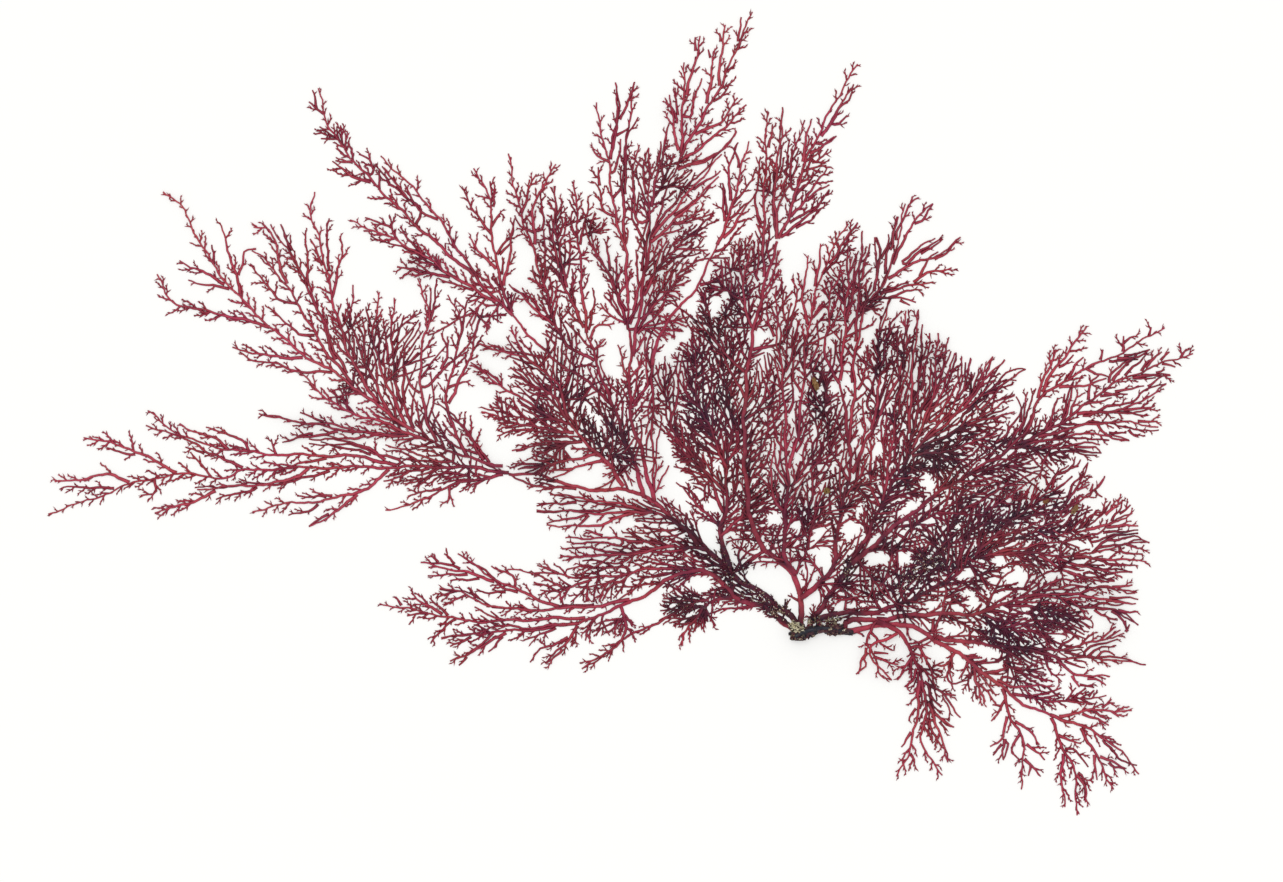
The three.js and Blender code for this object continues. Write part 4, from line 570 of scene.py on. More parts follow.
# Where the fronds are denser, or thinner, than their main lines alone make them: middle x and y and half
# sizes in millimetres, turn in degrees, and by how much (1 is a thicket, -1 nearly bare).
PATCHES = (
    (13, 24, 36, 20, 18, 0.8), (-16, 58, 20, 13, 78, 0.4), (-37, 44, 20, 11, 112, 0.45),
    (-24, 11, 22, 7, -12, 0.5), (-66, 45, 18, 8, 125, 0.25), (36, 3, 17, 12, -8, 0.7),
    (-58, 29, 14, 4, -10, 0.2), (-15, 46, 14, 6, 77, 1.0), (-17, 33, 8, 5, 100, 1.1),
    (-34, 34, 9, 3, 125, 1.5), (-41, 47, 9, 4, 100, 0.7), (-42, 65, 8, 3, 75, 0.8),
    (-24, 77, 5, 3, 60, 0.7), (-22, 64, 6, 4, 60, 0.7), (-13.5, 55, 4, 4.5, 60, 1.4),
    (-5, 20, 9, 6, 0, 1.1), (2.5, 41, 6, 2.4, 90, 1.5), (21, 28, 7, 3.5, 30, 1.9),
    (-9, 38, 3, 5, 0, 0.9), (22, 15, 9, 6, 50, 1.5), (9, 7, 5, 4, 10, 1.4), (28, 7, 5, 4, 0, 1.4),
    (33, -1, 6, 3.5, -20, 1.8), (11, 20, 5, 5, 60, 1.0), (1, 19, 4, 3.5, 0, 1.6), (17, 9, 6, 4, 0, 1.4),
    (-12, 21, 5, 5, 0, 0.8), (15, 48, 4, 4, 0, 1.1), (20, 44, 6, 4, -20, 0.9), (5, 53, 4, 3, 0, 0.8),
    (-1, 47, 4, 4, 0, 0.9), (33, 20, 10, 6, 30, 1.1), (34, 29, 6, 3.5, 40, 1.3), (45, 18, 5, 6, 0, 0.9),
    (44, 4, 4, 6, 0, 0.9), (38, -5, 3, 3, 0, 1.0), (-18, 12, 14, 4, -40, 1.0),
    (-19.5, 4.5, 5, 3, 0, 1.6), (-30, 13, 4, 1.5, 0, 0.6), (-34, 1.5, 5, 2, 10, 1.3),
    (-52, 2.5, 4, 2, 0, 0.8), (-75, 50, 5, 5, 60, 0.9), (-44, 25, 4, 2, 0, 0.8), (8, 23, 4, 3, 0, 1.3),
    (-65, 33, 9, 3.5, -42, 0.8), (-63, 55, 9, 4, 0, 0.5), (-50, 37, 4, 3, 0, 0.9),
    (6, 60, 3, 4, 90, 0.6), (-9, 61, 3, 5, 0, 0.8), (-53, 56, 4, 4, 0, 0.8), (-64, 62, 3, 3, 0, 0.8),
    (20, -5, 3, 6, 0, 0.9), (-33, 59, 3, 4, -25, 0.7), (-27, 72, 3, 3, 0, 0.5), (-58, 6, 4, 2, 0, 0.8),
    (29, -3, 4, 3, 0, 1.2), (-103, 28, 4, 3, 0, 0.3), (-42, 8, 5, 2, -20, 0.8),
    (-70, 76, 5, 2, -40, 0.5), (-26, 41, 6, 6, 0, 0.8), (-17, 45, 4, 4, 0, 1.3), (-22, 20, 5, 3, 0, 0.9),
    (38, 12, 8, 4, 10, 1.1), (4, 87, 6, 4, 60, -0.4), (14, 62, 7, 5, 30, -0.4),
    (47, 42, 12, 5, 10, -0.4), (-12, 76, 3, 6, -10, -0.8), (-37, 16, 8, 3, 0, -0.5),
    (-82, 34, 9, 3, -5, -0.3), (-47, 55, 3, 8, 20, -0.7), (0, 63, 4, 5, 0, -0.9),
    (12, -4, 4, 3, 0, -0.3), (-31, 84, 4, 9, 0, -0.4), (10, 51, 3, 3, 0, -0.9),
    (-12, 3, 6, 2, -25, -0.6), (31, 46, 9, 5, -10, -1.2), (37, 40, 5, 7, 0, -1.2),
    (40, 27, 4, 4, 0, -0.6), (51, 28, 4, 6, 0, -0.9), (-41, 12, 4, 3, 0, -0.5),
    (-19, 57, 2, 3, 10, -0.5), (23, -19, 3, 3, 0, -0.5), (-53, 9, 5, 4, 0, -0.5), (54, 1, 6, 9, 0, -1.2),
    (48, -8, 9, 4, 0, -1.2), (46, -22, 12, 7, -40, -0.4), (-38, 28, 4, 3, 0, -0.7),
    (-64, 68, 5, 4, -30, -0.5), (-100, 59, 8, 5, -10, -0.4), (-87, 55, 4, 4, 0, -0.4),
    (-12, 100, 4, 8, 0, -0.6), (-70, 46, 3, 3, 0, 0.8), (-77, 40, 3, 3, 0, 1.0),
    (-48, 55, 2, 4, 30, 1.4), (-42, 37, 5, 6, 0, 1.1), (-44, 44, 4, 4, 0, 0.9),
    (-14.5, 56.5, 3, 2.5, 0, 2.0), (-4, 52, 3, 3, 0, 0.8), (-10, 64, 2, 4, 0, 1.0),
    (9, 63, 4, 3, 0, 1.0), (10, 57, 5, 3, 0, 1.3), (-21, 77, 4, 4, 0, 0.9), (-4, 76, 5, 3, 0, 0.8),
    (-12, 31, 4, 8, 0, 1.3), (25, 46, 5, 3, -30, 1.4), (30, 42.5, 4, 3, 0, 1.6), (28, 34, 3, 3, 0, 1.3),
    (38, 30, 3, 3, 0, 1.2), (28, 25, 5, 4, 0, 1.4), (14, 26, 7, 8, 0, 1.2), (38.5, 35.5, 2.5, 3, 0, 1.3),
    (40, -8, 3, 4, 0, 0.9), (42, 2, 5, 4, 0, 1.7), (47, -11, 3, 2.5, 0, 1.6), (22, -14, 2, 4, 0, 0.9),
    (4, 34, 2, 5, 0, 1.2), (-66, 27, 6, 2.5, 0, 0.4), (-28, 79, 3, 2.5, 0, 1.1), (-4, 43, 2, 5, 0, 0.9),
    (42, 22, 5, 3, 0, 1.2), (-29, 48, 5, 2, 0, 0.8), (-50, 32, 6, 3, 0, -0.6), (50, 11, 4, 3, 0, 0.9),
    (-71, 57, 8, 4, 0, -0.6), (-56, 38, 7, 3, -45, -0.8), (-48, 25, 5, 2, -20, -0.9),
    (-35, 60, 3, 6, -20, -0.9), (-31, 47, 4, 4, 0, -0.6), (-24, 48, 3, 3, 0, -0.5),
    (-71, 69, 5, 2, -40, 0.5), (-37, 18, 4, 3, 0, -0.7), (-10, 14, 5, 2, -30, -0.5),
    (-25, 5, 5, 3, 0, -0.6), (-84, 30, 9, 8, 0, -0.5), (-81, 21, 5, 4, 0, -0.9), (-52, 6, 9, 6, 0, -0.5),
    (8, 38, 2.5, 6, 0, -0.5), (48, 32, 3, 10, 0, -0.8), (56, 45, 8, 9, 0, -0.6), (17, 65, 8, 6, 0, -1.1),
    (11, -4, 4, 3, 0, -1.2), (26, -13, 3, 6, 0, -0.6), (45, -24, 12, 6, 0, -0.5),
    (-14, 80, 3, 6, 0, -0.7), (-33, 87, 5, 6, 0, -0.6), (5, 87, 6, 6, 0, -0.6), (-11, 70, 3, 5, 0, -0.5),
    (-60, 56, 3, 3, 0, -0.8), (-55, 65, 5, 4, 0, -0.8), (-36, 2, 5, 3, 0, -0.5),
    (-105, 56, 9, 5, 0, -0.5), (-120, 28, 6, 4, 0, -0.4), (-83, 91, 5, 4, 0, -0.5),
    (-98, 66, 4, 4, 0, -0.6), (-5.2, 4.3, 3.4, 0.5, -36, 1.3), (-85, 28.5, 8, 1.5, 0, 0.8),
    (42, -9, 3, 3, 0, 1.3), (-109, 59, 3, 3, 0, 0.5), (-34, 57, 2, 2, 0, 1.0), (-36, 36, 2.5, 3, 0, 1.9),
    (-42, 30, 4, 2.5, 0, 1.4), (-56, 26.5, 4, 1.5, 0, 0.9), (-5, 37, 2, 4, 0, 1.4),
    (-17, 61, 2, 2, 0, -0.6), (-56, 5, 3, 2, 0, 0.8), (49, 34, 3, 1.5, 0, 0.8),
    (-12, 13.5, 7, 2, -20, -0.6), (-27, 18.5, 8, 2, 0, -0.3), (-44, -3, 12, 2, 0, -0.7),
    (-34, 52, 3, 2, 0, -0.6), (-47, 51, 2, 2, 0, 0.9), (-30, 29, 2, 3, 0, 0.5), (1, 40, 2, 5, 0, -0.4),
    (31, 32, 4, 2, 0, 1.3), (44, 26, 3, 3, 0, -0.4), (50, -6, 3, 2, 0, -0.5), (-50, 65, 4, 4, 0, -0.6),
    (-25, 51, 4, 2, 0, 0.7), (0, 9, 2, 2, 0, -0.6), (29, 18, 5, 4, 0, 1.6), (30, 11, 6, 3, 0, 1.4),
    (22, 12, 6, 4, 0, 2.0), (17, 7, 3, 4, 0, 1.3), (27, 5.5, 3.5, 2, 0, 2.0), (13, 13, 2.5, 2.5, 0, 2.0),
    (42, 18, 5, 2, 0, 1.4), (52, 0, 3, 3, 0, 1.3), (3.5, 28, 2, 5, 0, 1.4), (13, 45, 4, 3, 0, 1.0),
    (-16, 41, 5, 4, 0, 1.5), (-25, 5.5, 3, 1.5, 30, 0.7), (-38, -1, 3, 1.5, 0, 0.8),
    (-8, 6, 2, 2, 0, 0.9), (33, -9, 3, 2, 0, 0.4), (-14, 67, 3, 3, 0, -0.6), (14, 58, 3, 4, 0, -0.7),
    (24, 52, 3, 3, 0, -0.8), (-3, 60, 3, 6, 0, 0.5), (7, 47.5, 2.5, 2.5, 0, 0.7),
    (-53, 1.5, 3, 2, 0, 0.8), (-40, 19, 6, 2, 0, -0.8), (-84, 36, 6, 3, 10, -0.8),
    (-72, 45, 4, 4, 0, 0.9), (-37, 28, 3, 3, 0, -0.7), (-36, 67, 3, 4, 0, 0.5), (-18, 77, 3, 4, 0, -0.6),
    (-79, 84, 4, 2, -40, 0.5), (-18, 97, 3, 5, 0, -0.5), (0, 80, 4, 3, 0, 0.5), (-7, 50, 4, 2, 0, -0.5),
    (17, 34, 3, 5, 0, 1.1), (9, 30, 3, 3, 0, -0.6), (50, 14, 5, 2, 0, -0.7), (46, 24, 4, 3, 0, -0.8),
    (41, 29, 3, 4, 0, 1.1), (23, -18, 3, 4, 0, -0.9), (34, -20, 4, 4, 0, -0.7), (49, -6, 3, 3, 0, -0.4),
    (-36, 7, 3, 2, 0, 0.5), (-55, 10, 9, 3, 0, -0.8), (17, -12, 2, 9, 0, -0.9), (-26, 84, 4, 5, 0, -0.7),
)

# Where dust and older growth darken the strands, and where painted shade darkens the thickest thickets: middle
# x and y, half sizes, turn and by how much.
STAINS_AND_THICKET_SHADE = (
    (-10.5, 10, 14, 2.6, -38, 1.2), (-4, 4, 5, 2, -32, 1.2), (5, 2.2, 5, 1.8, 0, 0.8),
    (1, 4, 2, 3, -30, 0.3), (7.8, 10.5, 1.2, 2.6, 0, 0.6), (21, 12, 4, 2.4, 10, 0.4),
    (18, 9, 3, 1.5, 0, 0.4), (-19.5, 4.5, 4.5, 2, 0, 0.4), (-34, 34, 8, 2.4, 125, 0.35),
    (-17, 38, 3, 6, 0, 0.35), (-14.5, 54, 4, 4, 0, 0.3), (23, 31, 6, 3, 30, 0.35),
    (33, -0.5, 5, 2, -40, 0.35), (27, 18, 4, 2, 20, 0.3), (35, 20, 6, 2, 20, 0.3),
    (42, 22, 3, 2, 20, 0.4), (38, -3, 3, 2, 0, 0.3), (2.5, 41, 4.5, 1.6, 90, 0.35),
    (37, 7, 5, 2, 20, 0.25), (43, 3, 4, 1.6, 10, 0.25), (22, -9, 1.5, 4, 0, 0.3),
    (-75, 52, 3, 5, 20, 0.2), (-62, 33, 7, 2, -45, 0.3), (-68, 70, 6, 2, -35, 0.25),
    (-23, 75, 2, 5, 0, 0.3), (54, -22, 3, 2, 0, 0.25), (-48, 27, 8, 1.5, -20, 0.3),
    (-86, 33.5, 6, 2, 0, 0.2), (-57, 64, 6, 2, -45, 0.35),
)

# Places that stay open, so that the ground shows: middle x and y, half sizes and turn.
OPENINGS = (
    (-5, 8.7, 4.6, 2.6, -35), (-0.6, 5.1, 1.7, 1.5, 0), (-6.8, 1.7, 4.2, 1.4, -38),
    (-21.6, 25.4, 5, 2.4, 115), (-24, 32.4, 2.2, 1.8, 0), (-15.8, 21.4, 2.3, 0.9, 0),
    (-17.5, 8.4, 2.3, 1.6, 0), (-14, 28.7, 1.2, 1, 0), (-1.2, 30.8, 0.9, 2.5, 0),
    (-2, 37.7, 0.8, 1.8, 0), (-0.8, 42, 0.9, 1.5, 0), (5.5, 42, 0.9, 1.5, 0), (9, 42.5, 0.8, 1, 0),
    (12.5, 31, 1.5, 0.9, 0), (10, 34.6, 0.5, 1.1, 0), (3, 17, 1.7, 1.0, 35), (3.4, 13, 2.0, 1.6, 0),
    (8.2, 17.6, 1.5, 1.6, 0), (12.5, 16, 1, 0.9, 0), (17, 12.7, 1.5, 1, 30), (17.3, 16.7, 1.6, 0.8, 35),
    (18, 21.3, 2.5, 0.9, 35), (21.5, 25.2, 1.5, 0.9, -40), (21.7, 19.2, 1, 0.6, 0),
    (13, 12.8, 2.3, 1, 0), (2, 6.5, 0.9, 2.4, 20), (6.5, 4.8, 1, 0.7, 0), (8.3, 4.8, 0.8, 0.7, 0),
    (-5, 19.5, 1.2, 1, 0), (-1, 18.3, 0.8, 0.7, 0), (-17, 17.5, 0.9, 0.7, 0), (27.5, 10, 2.1, 1, 0),
    (33, 8.8, 1.4, 0.7, 0), (36, 10.1, 2.1, 1.4, 0), (33.5, 12.3, 1.2, 0.9, 0), (42.5, 10, 1.6, 0.8, 25),
    (33, 6.4, 2.3, 0.7, 0), (22, 4.8, 1.2, 0.8, 0), (26, 4, 1.4, 0.7, 0), (28.7, 5, 1.5, 0.7, 0),
    (19.7, 0.3, 1.4, 1.2, 0), (25.3, 0.6, 2.5, 0.8, -10), (22.6, -3.3, 2.5, 1.4, -20),
    (31, -3.2, 2.7, 1.1, -20), (27, -2.8, 1.1, 1.1, 0), (32.3, -5.8, 1.9, 0.8, -20),
    (27, -5.2, 0.9, 0.8, 0), (9.5, 2.3, 2.3, 0.45, 0), (43.5, -0.4, 1.5, 0.9, 0),
    (46, -1.3, 1.1, 0.7, 0), (49, 6.4, 1.5, 0.7, 0), (50, 18.8, 1.2, 0.8, 45), (46.7, 15.2, 0.9, 0.5, 0),
    (12.6, -0.3, 0.9, 0.8, 0),
)

LINE_STEP = 0.7 * MM
RAY_HEIGHT = 9  # millimetres: above everything that a ray is dropped on
DOWN = Vector((0, 0, -1))
START_REACH = 0.8 * MM  # a route that begins this near an earlier line is moved onto it
SHARED_REACH = 0.42 * MM  # a route follows an earlier line for as long as it stays this near to it
TWIG_REACH_IN = 0.74  # how far twigs reach into an opening: 1 is its rim and 0 its middle
CELL = 0.2 * MM
NEAR_SPREAD = 0.28 * MM
WIDE_SPREAD = 1.1 * MM


def reach_in(row, points):
    """How far out the points lie in an ellipse: 0 in the middle, 1 on the rim."""
    x, y, half_length, half_width, turn = row[:5]
    cos, sin = math.cos(math.radians(turn)), math.sin(math.radians(turn))
    dx, dy = (points / MM - (x, y)).T
    return np.hypot((dx * cos + dy * sin) / half_length, (dy * cos - dx * sin) / half_width)


class Field:
    """Maps of the plant's plane: how dense it should be, where it stays open and what grows there already."""

    def __init__(self):
        margin = 6 * MM
        low, high = (np.array(corner[:2]) for corner in CAD_BOX)
        self.low = low - margin
        size = np.ceil((high + margin - self.low) / CELL).astype(int)
        points = self.low + (np.indices(size).reshape(2, -1).T + 0.5) * CELL
        more = np.zeros(len(points))
        less = np.zeros(len(points))
        for row in PATCHES:
            share = np.clip((1.2 - reach_in(row, points)) / 0.5, 0, 1) * row[5]
            more = np.maximum(more, share)
            less = np.minimum(less, share)
        opening = np.full(len(points), 9.0)
        for row in OPENINGS:
            opening = np.minimum(opening, reach_in(row, points))
        stained = np.zeros(len(points))
        # Stains, with painted shade where they lie on the thickest thickets.
        for row in STAINS_AND_THICKET_SHADE:
            stained = np.maximum(stained, np.clip((1.3 - reach_in(row, points)) / 0.6, 0, 1) * row[5])
        self.stained = stained.reshape(size)
        self.wanted = (more + less).reshape(size)
        self.opening = opening.reshape(size)
        self.taken = np.zeros(size)
        self.home = np.zeros(size)

    def cells(self, points):
        found = ((points - self.low) / CELL).astype(int)
        found = np.clip(found, 0, np.array(self.taken.shape) - 1)
        return found[..., 0], found[..., 1]

    def mark(self, grid, points, reach):
        """Adds one to the cells of the grid within `reach` cells of the points."""
        steps = np.indices((2 * reach + 1, 2 * reach + 1)).reshape(2, -1).T - reach
        steps = steps[np.hypot(*steps.T) < reach + 0.3]
        middle = ((points - self.low) / CELL).astype(int)
        cells = np.unique((middle[:, None] + steps).reshape(-1, 2), axis=0)
        cells = np.clip(cells, 0, np.array(self.taken.shape) - 1)
        grid[cells[:, 0], cells[:, 1]] += 1

    def path(self, spot, heading, lean, curl, count, rng):
        """A small spray's way from `spot`, up to the first opening or the end of the thicket."""
        turns = heading + lean + np.cumsum(curl / count + rng.uniform(-0.17, 0.17, count))
        steps = LINE_STEP * np.column_stack([np.cos(turns), np.sin(turns)])
        way = np.vstack([spot, spot + np.cumsum(steps, axis=0)])
        cells = self.cells(way)
        stop = (self.opening[cells] < 1) | (self.wanted[cells] < 0.1) | (self.home[cells] == 0)
        stop[0] = False
        return way[:stop.argmax()] if stop.any() else way


class FrondSettings(bpy.types.PropertyGroup):
    """Sizes of the fronds' fine parts."""

    stem_width: FloatProperty(name="Stem width", description="Width of a bare stem at its root",
                              default=0.96 * MM, min=0.2 * MM, unit="LENGTH", precision=5)
    axis_width: FloatProperty(name="Axis width", description="Width of an axis at its root",
                              default=0.66 * MM, min=0.1 * MM, unit="LENGTH", precision=5)
    spray_width: FloatProperty(name="Spray width", description="Width of a finer axis at its root",
                               default=0.58 * MM, min=0.1 * MM, unit="LENGTH", precision=5)
    tip_width: FloatProperty(name="Tip width", description="Width of every axis at its tip",
                             default=0.26 * MM, min=0.05 * MM, unit="LENGTH", precision=5)
    axis_reach: FloatProperty(name="Long twig", description="Length of the longest twigs on an axis",
                              default=3.1 * MM, min=0.5 * MM, unit="LENGTH", precision=5)
    spray_reach: FloatProperty(name="Short twig", description="Length of the longest twigs on a spray",
                               default=2.2 * MM, min=0.5 * MM, unit="LENGTH", precision=5)
    twig_step: FloatProperty(name="Twig step", description="Distance along an axis from a twig to the next",
                             default=0.92 * MM, min=0.3 * MM, unit="LENGTH", precision=5)
    twig_width: FloatProperty(name="Twig width", description="Width of a twig at its foot",
                              default=0.48 * MM, min=0.05 * MM, unit="LENGTH", precision=5)
    barb_length: FloatProperty(name="Branchlet", description="Length of the finest branchlets",
                               default=1.0 * MM, min=0.1 * MM, unit="LENGTH", precision=5)
    barb_width: FloatProperty(name="Branchlet width", description="Width of the finest branchlets",
                              default=0.37 * MM, min=0.05 * MM, unit="LENGTH", precision=5)
    barb_step: FloatProperty(name="Branchlet step", description="Distance along a twig between branchlets",
                             default=0.54 * MM, min=0.2 * MM, unit="LENGTH", precision=5)
    filler_step: FloatProperty(name="Filler step", description="Distance between extra sprays in a thicket",
                               default=1.05 * MM, min=0.5 * MM, unit="LENGTH", precision=5)
    overlap: FloatProperty(name="Overlap", description="How much extra sprays may lie over what grows there",
                           default=0.8, min=0)
    twig_overlap: FloatProperty(name="Twig overlap",
                                description="How many layers a twig may lie over in a thicket",
                                default=1.6, min=0)
    layer_share: FloatProperty(name="Layer height",
                               description="Height of the crossing layers, as a share of the solids'",
                               default=0.6, min=0.1, max=1, subtype="FACTOR")
    seed: IntProperty(name="Seed", description="Sets the chance variation of twigs", default=311, min=1)


class ColourSettings(bpy.types.PropertyGroup):
    """Colours of the dried membrane, the holdfast and what clings to it."""

    rim: FloatVectorProperty(name="Rim", description="Membrane at its rims and in the finest branchlets",
                             default=(0.222, 0.0145, 0.034), size=3, min=0, max=1, subtype="COLOR")
    crown: FloatVectorProperty(name="Midrib", description="Membrane along the broad middle of an axis",
                               default=(0.44, 0.048, 0.082), size=3, min=0, max=1, subtype="COLOR")
    # Painted shade: near-black plum where many layers lie over one another.
    layer_shade_colour: FloatVectorProperty(name="Crowded", description="Where many layers lie over one another",
                                 default=(0.09, 0.0155, 0.031), size=3, min=0, max=1, subtype="COLOR")
    holdfast: FloatVectorProperty(name="Holdfast", description="Dried holdfast and its root",
                                  default=(0.012, 0.010, 0.018), size=3, min=0, max=1, subtype="COLOR")
    crust: FloatVectorProperty(name="Crust", description="Pale crumbs that cling to the holdfast",
                               default=(0.72, 0.67, 0.50), size=3, min=0, max=1, subtype="COLOR")
    speck: FloatVectorProperty(name="Speck", description="Brown specks caught in the fronds",
                               default=(0.20, 0.105, 0.04), size=3, min=0, max=1, subtype="COLOR")


class StageSettings(bpy.types.PropertyGroup):
    """The floor, the light and the camera."""

    floor: FloatVectorProperty(name="Floor", description="Colour of the floor",
                               default=(0.93, 0.928, 0.91), size=3, min=0, max=1, subtype="COLOR")
    glow: FloatProperty(name="Floor glow", description="Share of the floor's white that no shadow dims",
                        default=0.42, min=0, max=1, subtype="FACTOR")
    sky: FloatProperty(name="Soft light", description="Strength of the light from all round",
                       default=0.86, min=0)
    sun: FloatProperty(name="Lamp", description="Strength of the lamp overhead", default=0.75, min=0)
    lens: FloatProperty(name="Lens", description="Focal length of the camera", default=200.0, min=10,
                        unit="CAMERA")
    view_width: FloatProperty(name="View width", description="Width of floor in the picture",
                              default=218.11 * MM, min=10 * MM, unit="LENGTH", precision=4)
    centre: FloatVectorProperty(name="Aim", description="Point of the floor at the picture's middle",
                                default=(-27.45 * MM, 32.64 * MM), size=2, subtype="XYZ", unit="LENGTH",
                                precision=4)


def settings(name):
    return getattr(bpy.context.scene, "seaweed_" + name)


def routes_in(text):
    """The routes written as "x y, x y; x y, x y", in metres."""
    lines = [line for line in text.replace("\n", " ").split(";") if line.strip()]
    return [np.array([[float(v) for v in pair.split()] for pair in line.split(",")]) * MM for line in lines]


def lengths_along(line):
    """The length from the first point of a line to each of its points."""
    return np.concatenate([[0.0], np.cumsum(np.linalg.norm(np.diff(line, axis=0), axis=1))])


def evenly(line, step):
    """Points `step` or a little less or more apart on a line."""
    along = lengths_along(line)
    count = max(3, round(along[-1] / step) + 1)
    at = np.linspace(0, along[-1], count)
    return np.column_stack([np.interp(at, along, line[:, k]) for k in (0, 1)])


def smooth_line(points, step):
    """Evenly spaced points on a smooth curve through `points`."""
    ends = 2 * points[0] - points[1], 2 * points[-1] - points[-2]
    padded = np.vstack([ends[0], points, ends[1]])
    t = np.linspace(0, 1, 9)[:-1, None]
    pieces = []
    for a, b, c, d in zip(padded, padded[1:], padded[2:], padded[3:]):
        bend = (2 * a - 5 * b + 4 * c - d) * t**2 + (3 * b - a - 3 * c + d) * t**3
        pieces.append(0.5 * (2 * b + (c - a) * t + bend))
    return evenly(np.vstack([*pieces, points[-1:]]), step)


def wavy(line, rng):
    """The line with small bends and the slight zigzag of an axis that forks from side to side."""
    along = lengths_along(line)
    total = along[-1]
    shift = np.zeros(len(line))
    for wave, size in ((8.5 * MM, 0.18 * MM), (3.4 * MM, 0.07 * MM), (1.6 * MM, 0.045 * MM)):
        shift += size * np.sin(2 * math.pi * (along / (wave * rng.uniform(0.85, 1.15)) + rng.random()))
    shift *= np.clip(along / (2 * MM), 0, 1) * np.clip((total - along) / (1.2 * MM), 0, 1)
    return line + sideways(headings(line)) * shift[:, None]


def headings(line):
    ahead = np.gradient(line, axis=0)
    return ahead / np.maximum(np.linalg.norm(ahead, axis=1, keepdims=True), 1e-12)


def sideways(ahead):
    return np.column_stack([-ahead[:, 1], ahead[:, 0]])


def on_tree(points, tree):
    """A route that starts on the lines already in `tree`: the stretch that it shares with one is left out."""
    if not tree:
        return points
    known = np.vstack(tree)
    gaps = lambda p: np.linalg.norm(known - p, axis=1)
    dense = evenly(points, 0.5 * MM)
    near = np.array([gaps(p).min() < SHARED_REACH for p in dense])
    first = 0
    while first < len(near) and near[first]:
        first += 1
    if first >= len(near) - 2:
        return None
    if first:
        kept = dense[max(0, first - 1):]
        coarse = np.vstack([kept[0], *[p for p in points if lengths_past(p, dense, first)]])
        return coarse if len(coarse) > 1 else kept[[0, -1]]
    gap = gaps(points[0])
    nearest = known[gap.argmin()]
    if gap.min() < START_REACH:
        return np.vstack([nearest, points[1:]])
    return np.vstack([nearest, points])


def lengths_past(point, dense, first):
    """Whether `point` of the route comes after its station number `first`."""
    return np.linalg.norm(dense - point, axis=1).argmin() > first


# Points inside the holdfast that the stems near it are led on to.
ANCHORS = np.array([(-1.3, 0.4), (0.1, 0.5), (1.3, 0.7), (2.9, 0.8), (5.0, 0.8), (7.0, 0.4)]) * MM
ANCHOR_REACH = 4.2 * MM
TWIG_DRAWS, RISE_DRAWS = 90, 91  # uses of a line's own draws, past the numbers of the fill's passes
HOME_REACH = 13  # cells: extra sprays keep this near to a line that is written as a route


def own_draws(line, seed, use):
    """Chance draws of a line's own, which stay the same when other lines change."""
    return np.random.default_rng([seed, use, *np.abs(line[[0, -1]].ravel() * 1e6).astype(int)])


def stem_share(start):
    """Stems are thinner the further from the holdfast they begin."""
    return max(0.64, 1.0 - 0.007 * (np.linalg.norm(start) / MM - 8))


def anchored(points):
    """A stem's route led on into the holdfast if it begins close to it."""
    gaps = np.linalg.norm(ANCHORS - points[0], axis=1)
    return np.vstack([ANCHORS[gaps.argmin()], points]) if gaps.min() < ANCHOR_REACH else points


